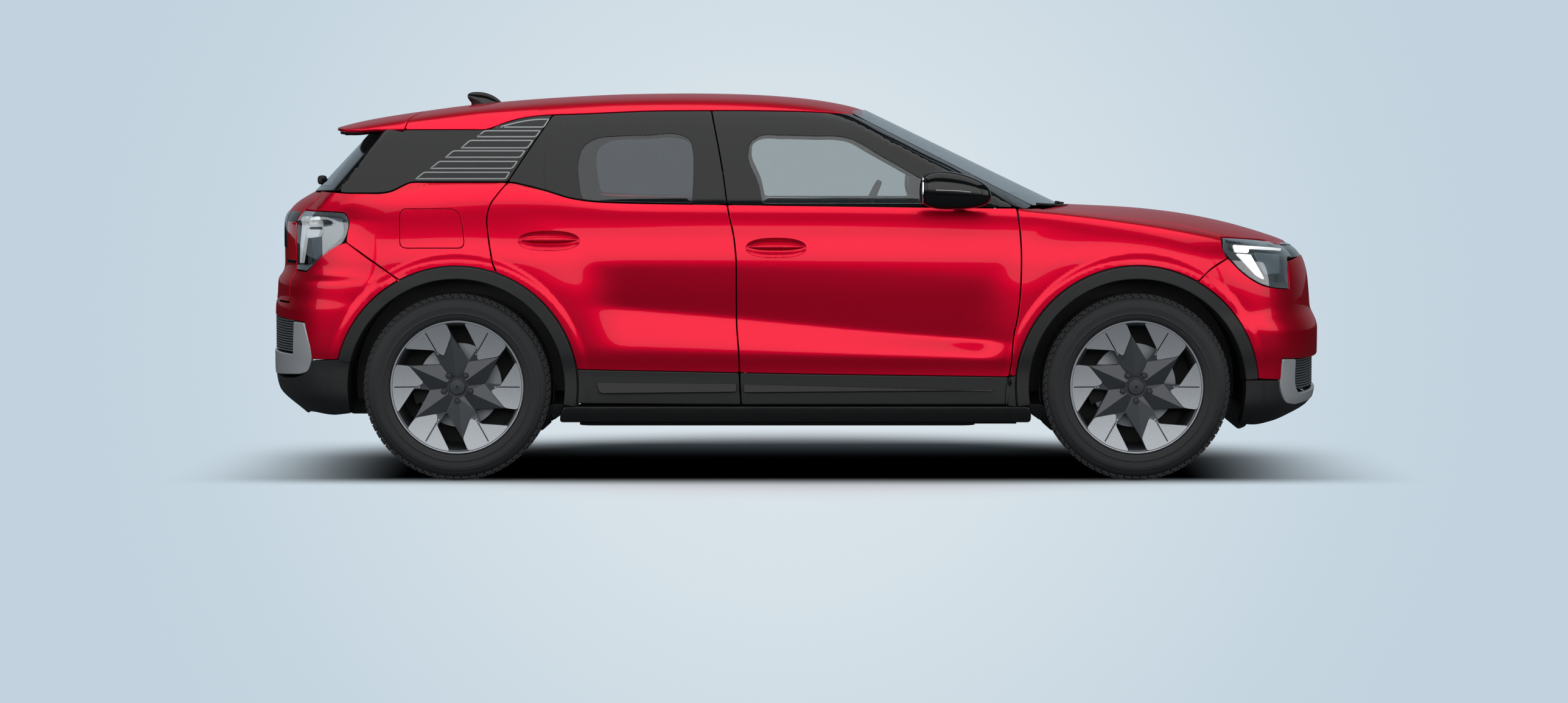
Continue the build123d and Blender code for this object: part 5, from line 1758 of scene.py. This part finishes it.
for end, axle in (("front", AXLE), ("rear", -AXLE)):
    for word in ("right", "left"):
        body = f"{end}_{word}_wheel"
        pivot = (axle, 0, WHEEL_HEIGHT)

        def fitted(solid, word=word, pivot=pivot):
            """The piece, drawn for the right side, at this wheel."""
            return at(solid if word == "right" else solid.mirrored(), pivot)

        for name, solid, finish, nodes, slot in (
            ("tyre_carcass", carcass, RUBBER, (f"{end}_{word}_tyre",), "tyre_rubber"),
            ("rim_face", petals.joined(lip), MACHINED, (f"{end}_{word}_rim",), "rim_alloy"),
            ("rim_base", base.joined(barrel), DARK_ALLOY, (), "rim_alloy"),
            ("rim_star", arms.joined(hub), DARK_ALLOY, (), "rim_alloy"),
            ("brake_disc", disc, MACHINED, (), None),
        ):
            build(f"{body}_{name}", fitted(solid), finish, body, nodes)
        for name, solid in (("tread", tread), ("shoulder", shoulder)):
            repeated(
                f"{body}_{name}", fitted(solid), RUBBER, body, TREAD_COUNT, around(TREAD_COUNT), pivot=pivot,
            )
        repeated(f"{body}_nuts", fitted(nut), DARK_ALLOY, body, NUT_COUNT, around(NUT_COUNT), pivot=pivot)
        carrier = f"front_{word}_steer" if end == "front" else "car_body"
        # Dust shield that also serves as painted shade behind the wheel.
        build(f"{end}_{word}_brake_shield", fitted(shield_and_shade), STEEL, carrier)
        # Painted shade in the nut holes, as black discs behind the nuts.
        repeated(f"{body}_nut_hole_shades", fitted(nut_hole_shade), STEEL, body, NUT_COUNT, around(NUT_COUNT), pivot=pivot)


# Windscreen with its black border, and the pillars beside it.
def from_front(uv):
    """Places on the windscreen by (y, z)."""
    y, z = split(uv)
    return cast(screen_only, columns(1500.0, y, z), columns(0 * y - 1, 0, 0), 1500.0)


def screen_only(x, y, z):
    """Negative behind the windscreen's surface with rounded sides."""
    return smooth_max(screen_field(x, y, z), cabin_sides(x, y, z), 14)


SCREEN_SIDE = [(-690, 1118), (-672, 1180), (-640, 1280), (-610, 1380), (-588, 1450), (-566, 1496)]
screen_loop = even(
    [(0, 1512), (-300, 1511), (-520, 1504), (-566, 1496)],
    *linked(SCREEN_SIDE[::-1], [(-350, 1113), (0, 1112)]),
    corner=14,
)
clear_loop = even(
    *linked(
        [(0, 1478), (-300, 1477), (-500, 1470), (-540, 1450)],
        [(-590, 1340), (-640, 1200), (-650, 1165)],
        [(-350, 1158), (0, 1156)],
    ),
    corner=30,
)
build(
    "windscreen_glass", shell(screen_loop, from_front, 0, 5, 1.5, 45), GLASS, "car_body", ["windscreen"],
)
build("windscreen_border", shell(shrunk(screen_loop, 3), from_front, 5.5, 7, 0.4, 60, holes=[clear_loop]),
      FRIT, "car_body")
screen_edge = seen(from_front([(y - 6, z) for y, z in SCREEN_SIDE[::-1]])[0])
pillar_low = [
    (876, 1123), (762, 1196), (632, 1274), (519, 1328), (402, 1388), (330, 1422), (264, 1459), (192, 1490),
    (150, 1497),
]
pillar_loop = outline(
    *linked(
        pillar_low, [(215, 1494), (262, 1487), screen_edge[0]], screen_edge[1:], [(940, 1114), (876, 1123)],
    ),
    corner=3,
)
both_sides(shell(pillar_loop, pane_side, 0, SKIN, 1.5, 18), "front_{}_pillar", GLOSS, BODY)

# Scuttle, wipers and antenna.
scuttle = even_plan(
    *linked(
        [(1176, 0), (1160, -250), (1110, -520), (1040, -740)],
        [(1008, -768)],
        [(1072, -528), (1124, -248), (1142, 0)],
    ),
    corner=4,
)
build("scuttle_strip", shell(scuttle, from_above, 8, 16, 2, 18), GRAIN, "car_body")


def on_screen(*points, lift=8.0):
    """Places a little in front of the windscreen, by (y, z)."""
    at, normal = from_front(flowing(points, 30))
    return at + lift * normal


# Powder-coated wiper arms and rubber blades: dull black with a fine tooth.
WIPER, tree, shader = material("black_wiper_rubber", "#101112", Roughness=0.6)
grained(tree, shader, RUBBER_GRAIN, 0.2, 0.25)
wipers = Solid()
for pivot_y, tip_y in ((420, -230), (-150, -640)):
    arm = on_screen((pivot_y, 1098), (0.5 * (pivot_y + tip_y), 1103), (tip_y + 60, 1110), lift=10)
    blade = on_screen((pivot_y - 60, 1104), (0.5 * (pivot_y + tip_y), 1109), (tip_y, 1118), lift=5)
    wipers = wipers.joined(tube(arm, 14, 7), tube(blade, 9, 10))
build("front_wipers", wipers, WIPER, "car_body")
rear_arm = tail([(-20, 1200), (-120, 1206), (-260, 1216)])
arm_path = rear_arm[0] + 12 * rear_arm[1]
knob = rounded_block((40, 44, 40), 3, 12, centre=tail([(0, 1204)])[0][0] + [-18, 0, 8])
build("rear_wiper", tube(arm_path, 16, 8).joined(knob), WIPER, "tailgate")

fin = rounded_block((132, 34, 92), 2.4, 20, bend=lambda p: p - columns(0.9 * np.maximum(p[:, 2], 0), 0, 0))
build("roof_fin", at(shaded(fin), (-1326, 0, 1543)), GLOSS, "car_body", ["roof_antenna"])


# Mirrors.
def mirror_shape(p):
    """Tapers the mirror housing towards its forward lower corner."""
    ahead = np.clip((p[:, 0] + 130) / 290, 0, 1)
    return columns(p[:, 0], p[:, 1], p[:, 2] * (1 - 0.42 * ahead ** 2) - 26 * ahead ** 2)


housing = at(shaded(rounded_block((290, 128, 164), 3.0, 26, mirror_shape)), (640, -962, 1187))
glass_plate = rounded_block((8, 104, 112), 5, 14, centre=(509, -962, 1184))
foot = tube([(690, -880, 1128), (680, -912, 1132), (668, -940, 1140)], 90, 22, taper=[1.2, 1, 1])
# Silvered mirror glass: a clean image.
MIRROR, _, _ = material("mirror_glass", "#DDE2E6", Metallic=1.0, Roughness=0.02)
both_sides(housing, "{}_mirror_housing", GLOSS, DOORS_FRONT, ["{}_mirror"])
both_sides(glass_plate, "{}_mirror_glass", MIRROR, DOORS_FRONT)
both_sides(foot, "{}_mirror_foot", GLOSS, DOORS_FRONT)
# Moulded lens of the side repeater, glossy; its light grey is partly a painted highlight line along the
# mirror.
REPEATER_LENS_AND_HIGHLIGHT, _, _ = material("side_repeater_lens", "#8D8F90", Roughness=0.2, Coat_Weight=0.6)
repeater = tube([(560, -1022, 1186), (640, -1024.5, 1184), (700, -1023, 1178)], 6, 5)
both_sides(repeater, "{}_side_repeater", REPEATER_LENS_AND_HIGHLIGHT, DOORS_FRONT)

# Handles: a bowl in the skin with a bar across it.
for (cx, cz, w, h), name, bodies in zip(HANDLES, ("front", "rear"), (DOORS_FRONT, DOORS_REAR)):
    bowl_loop = bowl_outline(cx, cz, w, h)

    def hollow(uv, cx=cx, cz=cz, w=w, h=h):
        """The bowl's surface, deepest in the middle."""
        points, normals = side(uv)
        x, z = split(uv)
        away = np.abs((x - cx) / (w / 2)) ** BOWL_POWER + np.abs((z - cz) / (h / 2)) ** BOWL_POWER
        depth = 13 * np.clip(1 - away, 0, 1) ** 0.5
        return points - normals * depth[:, None], normals

    cup = shell(bowl_loop, hollow, 0.6, 4, 0.6, 7)
    both_sides(shaded(cup), name + "_{}_handle_bowl", PAINT, bodies)
    span = np.linspace(-0.47 * w, 0.47 * w, 15)
    bar_points, bar_normals = side([(cx + q, cz + 4) for q in span])
    taper = np.clip(1 - (np.abs(span) / (0.5 * w)) ** 3, 0.25, 1)
    bar_path = bar_points - bar_normals * (9 - 6 * taper[:, None])
    both_sides(
        tube(bar_path, 12, 26, sides=16, taper=taper), name + "_{}_handle_bar", PAINT, bodies,
    )

# Louvre print on the black quarter: six outlined fields in screen-printed grey ink, slightly dull.
LOUVRE, tree, shader = material("light_grey_print", "#8C9093", Roughness=0.4)
grained(tree, shader, PRINT_GRAIN, 0.05, 0.2)
# Heights of a field's lower and upper line, then the back and front ends of the lower and of the upper line.
LOUVRE_FIELDS = [
    (1228, 1259, -1550, -1178, -1512, -1160), (1270, 1303, -1490, -1152, -1450, -1128),
    (1315, 1346, -1430, -1120, -1392, -1097), (1353, 1388, -1365, -1090, -1325, -1064),
    (1398, 1427, -1300, -1056, -1266, -1034),
]
louvres = Solid()
for low, high, low_back, low_front, high_back, high_front in LOUVRE_FIELDS:
    frame_loop = polygon([(low_back, low), (low_front, low), (high_front, high), (high_back, high)], 3, 10)
    inner_loop = shrunk(frame_loop, 5)
    louvres = louvres.joined(shell(frame_loop, pane_side, *PRINT_LINE, holes=[inner_loop]))
top_field = outline(
    *linked(
        [(-1225, 1437), (-1024, 1437)],
        [(-1000, 1474)],
        [(-1060, 1472), (-1120, 1463), (-1180, 1449), (-1225, 1437)],
    ),
    corner=3,
)
louvres = louvres.joined(shell(top_field, pane_side, *PRINT_LINE, holes=[shrunk(top_field, 5)]))
both_sides(louvres, "{}_louvre_print", LOUVRE, BODY)

# Slats in the openings of both bumpers, in satin grey moulded plastic: a soft sheen and a fine tooth.
SLAT, tree, shader = material("satin_grey_plastic", "#5C6064", Metallic=0.2, Roughness=0.42)
grained(tree, shader, PRINT_GRAIN, 0.1, 0.2)
SLAT_PITCH = 10.4
for name, edge, high, place, depths, count in (
    ("front_slats", grille_edge, 363, nose, (12, 34), 13),
    ("rear_slats", rear_grille_edge, 518, tail, (4, 30), 14),
):
    slat = shell(even_strip(edge + 4, high, high - 6, 1), place, *depths, 1.5, 25)
    repeated(name, slat, SLAT, "car_body", count, step=(0, 0, SLAT_PITCH))


# Cabin: seats, dashboard, screens and steering wheel.
def seat_back(p, lean=0.23, hollow=22.0, width=250.0):
    """Leans a backrest and hollows it for the occupant."""
    x, y, z = p.T
    cup = hollow * (1 - np.clip(np.abs(y) / width, 0, 1) ** 2)
    return columns(x - lean * (z + 290) - np.where(x > 0, cup, 0), y, z)


def seat_base(p, width=250.0):
    """Hollows a cushion along its middle."""
    x, y, z = p.T
    cup = 18 * (1 - np.clip(np.abs(y) / width, 0, 1) ** 2)
    return columns(x, y, z - np.where(z > 0, cup, 0) + 0.06 * x)


def upholstered(name, block, middle, nodes=()):
    """A padded, cloth-covered seat part, put in place."""
    piece = build(name, at(shaded(block), middle), CLOTH, "car_body", nodes)


for word, y in (("right", -395), ("left", 395)):
    upholstered(
        f"front_{word}_seat_cushion",
        rounded_block((500, 480, 130), 5, 24, seat_base),
        (110, y, 470),
        ["front_seats"],
    )
    upholstered(f"front_{word}_seat_back", rounded_block((110, 480, 590), 5, 24, seat_back), (-120, y, 810))
    upholstered(f"front_{word}_headrest", rounded_block((95, 250, 150), 4, 18), (-300, y, 1178))
    posts = [tube([(-275, y + way * 60, 1060), (-290, y + way * 60, 1130)], 12) for way in (-1, 1)]
    build(f"front_{word}_headrest_posts", posts[0].joined(posts[1]), MACHINED, "car_body")
    rails = boxes((-160, 360, y - 200, y - 170, 330, 415), (-160, 360, y + 170, y + 200, 330, 415))
    build(f"front_{word}_seat_rails", rails, STEEL, "car_body")
bench = rounded_block((460, 1240, 150), 6, 30, lambda p: seat_base(p, 900))
bench_back = rounded_block((120, 1240, 580), 6, 30, lambda p: seat_back(p, 0.24, 14, 900))
upholstered("rear_seat_cushion", bench, (-740, 0, 470), ["rear_seat"])
upholstered("rear_seat_back", bench_back, (-960, 0, 815))

dash = outline(
    *linked(
        [(935, 800), (935, 1034)],
        [(905, 1058), (840, 1064), (720, 1058), (640, 1046), (585, 1018)],
        [(566, 960), (580, 890), (640, 800)],
        [(935, 800)],
    ),
    corner=20,
)


def dash_side(uv):
    """The dashboard's end face."""
    x, z = split(uv)
    return columns(x, -686, z), columns(0 * x, -1, 0)


console = boxes((-110, 560, -122, 122, 330, 620))
build(
    "dashboard_body", shell(dash, dash_side, 0, 1372, 12, 60), TRIM, "car_body", ["dashboard"],
)
build("centre_console", console, TRIM, "car_body")
# Coated display glass, switched off: black and smooth.
SCREEN, _, _ = material("dark_display_glass", "#08090B", Roughness=0.04, Coat_Weight=0.5)
display = rounded_block((14, 210, 300), 12, 12, centre=(560, 0, 990))
build(
    "centre_display", display.moved(lambda p: p + columns(0.35 * (p[:, 2] - 990), 0, 0)), SCREEN, "car_body",
)
tilt = radians(25)
axis = np.array([-cos(tilt), 0, sin(tilt)])
across, upward = np.array([0.0, 1.0, 0.0]), np.array([sin(tilt), 0, cos(tilt)])
hub_at = np.array([292.0, 370.0, 1042.0])
ring = [hub_at + 172 * (cos(t) * across + sin(t) * upward * 0.97) for t in np.linspace(0, 2 * pi, 61)]
wheel_rim = tube(ring, 26, 26, axis)
spokes = tube([hub_at - 160 * across, hub_at, hub_at + 160 * across], 16, 30, upward).joined(
    tube([hub_at, hub_at - 160 * upward], 26, 14, axis))
boss = rounded_block((30, 120, 110), 3, 16).moved(lambda p: p @ np.array([-axis, across, upward]) + hub_at)
build(
    "steering_wheel_rim", wheel_rim.joined(spokes, shaded(boss)), TRIM, "steering_wheel", ["steering_wheel"],
)
inner_mirror = rounded_block(
    (30, 230, 64), 4, 14, centre=(210, 0, 1420),
).joined(tube([(222, 0, 1440), (262, 0, 1486)], 22))
build("inner_mirror", inner_mirror, TRIM, "car_body")

# CAD nodes that stay in sight: steel and plastic under and inside the body.
for name, cad_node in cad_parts.items():
    finish = TRIM if name in ("bay_cover", "cowl_panel") else GRAIN if name == "wheelhouse_liners" else STEEL
    cad_node.data.materials.clear()
    cad_node.data.materials.append(finish)

# Camera, stage and light.
LOOKING_DOWN = 3.35
camera = bpy.data.objects.new("camera", bpy.data.cameras.new("camera"))
bpy.context.collection.objects.link(camera)
camera.location = EYE * MM
camera.rotation_euler = (radians(90 - LOOKING_DOWN), 0, 0)
camera.data.lens = 90.0
camera.data.sensor_width = 36.0
camera.data.clip_end = 200
bpy.context.scene.camera = camera
bpy.context.scene.view_settings.view_transform = "Standard"


def lamp(name, place, aim, size, power):
    """Large soft white lamp that looks at a point."""
    made = bpy.data.lights.new(name, "AREA")
    made.shape = "RECTANGLE"
    made.size, made.size_y = size
    made.energy = power
    made.color = (1, 1, 1)
    holder = bpy.data.objects.new(name, made)
    bpy.context.collection.objects.link(holder)
    holder.location = place
    holder.rotation_euler = (Vector(aim) - Vector(place)).to_track_quat("-Z", "Y").to_euler()
    holder.visible_camera = False


lamp("overhead", (0, -2.2, 6.0), (0, -2.2, 0), (10, 7), 380)
lamp("side_wall", (0, -9, 2.5), (0, 0, 1.2), (15, 3.0), 350)
for way in (-1, 1):
    lamp("end_wall", (way * 9, -4.5, 2.5), (0, 0, 1.2), (8, 3.2), 180)


# How far below the horizon the backdrop is brightest, and how wide its glow is, as slopes of the line of
# sight.
HORIZON_DROP, GLOW_SPREAD = 0.055, 0.2


def backdrop_tone(tree, source, output):
    """Pale backdrop colour, brighter towards the middle of the view, from a line of sight."""
    parts = node(tree, "ShaderNodeSeparateXYZ", [("Vector", source, output)])
    across = node(tree, "ShaderNodeMath", [(0, parts, "X"), (1, parts, "Y")], operation="DIVIDE")
    upward = node(tree, "ShaderNodeMath", [(0, parts, "Z"), (1, parts, "Y")], operation="DIVIDE")
    level = node(tree, "ShaderNodeMath", [(0, upward, 0)], operation="ADD", in_1=HORIZON_DROP)
    wide = node(tree, "ShaderNodeMath", [(0, across, 0)], operation="DIVIDE", in_1=GLOW_SPREAD)
    tall = node(tree, "ShaderNodeMath", [(0, level, 0)], operation="DIVIDE", in_1=GLOW_SPREAD)
    both = node(tree, "ShaderNodeCombineXYZ", [("X", wide, 0), ("Y", tall, 0)])
    away = node(tree, "ShaderNodeVectorMath", [(0, both, 0)], operation="LENGTH")
    share = node(tree, "ShaderNodeMapRange", [("Value", away, "Value")], interpolation_type="SMOOTHSTEP",
                 in_From_Min=0.1, in_From_Max=0.95)
    return node(
        tree, "ShaderNodeMixRGB", [("Fac", share, 0)], in_Color1=linear("#DAE4EA"),
        in_Color2=linear("#C2D3DF"),
    )


world = bpy.data.worlds.new("studio")
bpy.context.scene.world = world
world.use_nodes = True
tree = world.node_tree
ground = tree.nodes["Background"]
view = node(tree, "ShaderNodeTexCoord")
tone = backdrop_tone(tree, view, "Generated")
view_parts = node(tree, "ShaderNodeSeparateXYZ", [("Vector", view, "Generated")])
room = node(tree, "ShaderNodeMapRange", [("Value", view_parts, "Y")], interpolation_type="SMOOTHSTEP",
            in_From_Min=0.5, in_From_Max=0.98, in_To_Min=0.08, in_To_Max=0.55)
rays = node(tree, "ShaderNodeLightPath")
direct = node(
    tree,
    "ShaderNodeMath",
    [(0, rays, "Is Camera Ray"), (1, rays, "Is Transmission Ray")],
    operation="MAXIMUM",
)
strength = node(tree, "ShaderNodeMix", [("Factor", direct, 0), ("A", room, 0)], data_type="FLOAT", in_B=1.0)
tree.links.new(tone.outputs[0], ground.inputs["Color"])
tree.links.new(strength.outputs[0], ground.inputs["Strength"])

# Studio floor: it shows the backdrop's colour far from the car, takes its own soft cast shadow near it, and
# has a painted black shadow right under it. Other rays than the camera's meet a plain grey floor.
studio, tree, shader = material("studio_floor", "#DDE6EC", Roughness=0.8)
spot = node(tree, "ShaderNodeTexCoord")
from_eye = node(
    tree, "ShaderNodeVectorMath", [(0, spot, "Object")], operation="SUBTRACT", in_1=tuple(EYE * MM),
)
glow = node(tree, "ShaderNodeEmission", [("Color", backdrop_tone(tree, from_eye, 0), 0)])
spot_parts = node(tree, "ShaderNodeSeparateXYZ", [("Vector", spot, "Object")])
squeezed = node(tree, "ShaderNodeMath", [(0, spot_parts, "X")], operation="MULTIPLY", in_1=0.8)
oval = node(tree, "ShaderNodeCombineXYZ", [("X", squeezed, 0), ("Y", spot_parts, "Y")])
distance = node(tree, "ShaderNodeVectorMath", [(0, oval, 0)], operation="LENGTH")
far = node(tree, "ShaderNodeMapRange", [("Value", distance, "Value")], interpolation_type="SMOOTHSTEP",
           in_From_Min=1.0, in_From_Max=1.9)
lit = node(tree, "ShaderNodeMixShader", [(0, far, 0), (1, shader, 0), (2, glow, 0)])
half = node(tree, "ShaderNodeMath", [(0, spot_parts, "X")], operation="ABSOLUTE")
# Mask of the painted shadow under the car, fading out past its ends, its front and its back.
ends, front, back = [
    node(
        tree, "ShaderNodeMapRange", [("Value", source, output)], interpolation_type="SMOOTHSTEP",
        in_From_Min=start, in_From_Max=stop,
    )
    for source, output, start, stop in (
        (half, 0, 2.62, 1.6), (spot_parts, "Y", -1.15, -0.75), (spot_parts, "Y", 1.25, 0.1),
    )
]
strip = node(tree, "ShaderNodeMath", [(0, ends, 0), (1, front, 0)], operation="MULTIPLY")
painted_shadow = node(tree, "ShaderNodeMath", [(0, strip, 0), (1, back, 0)], operation="MULTIPLY")
# Painted shadow: black mixed into the floor through that mask.
black = node(tree, "ShaderNodeEmission", in_Strength=0.0)
shadowed = node(tree, "ShaderNodeMixShader", [(0, painted_shadow, 0), (1, lit, 0), (2, black, 0)])
plain = node(tree, "ShaderNodeBsdfDiffuse", in_Color=linear("#5A6064"))
seen_by = node(tree, "ShaderNodeLightPath")
final = node(tree, "ShaderNodeMixShader", [(0, seen_by, "Is Camera Ray"), (1, plain, 0), (2, shadowed, 0)])
tree.links.new(final.outputs[0], tree.nodes["Material Output"].inputs["Surface"])
bpy.ops.mesh.primitive_plane_add(size=120, location=(0, 0, 0))
floor = bpy.context.object
floor.name = "studio_floor"
floor.data.materials.append(studio)
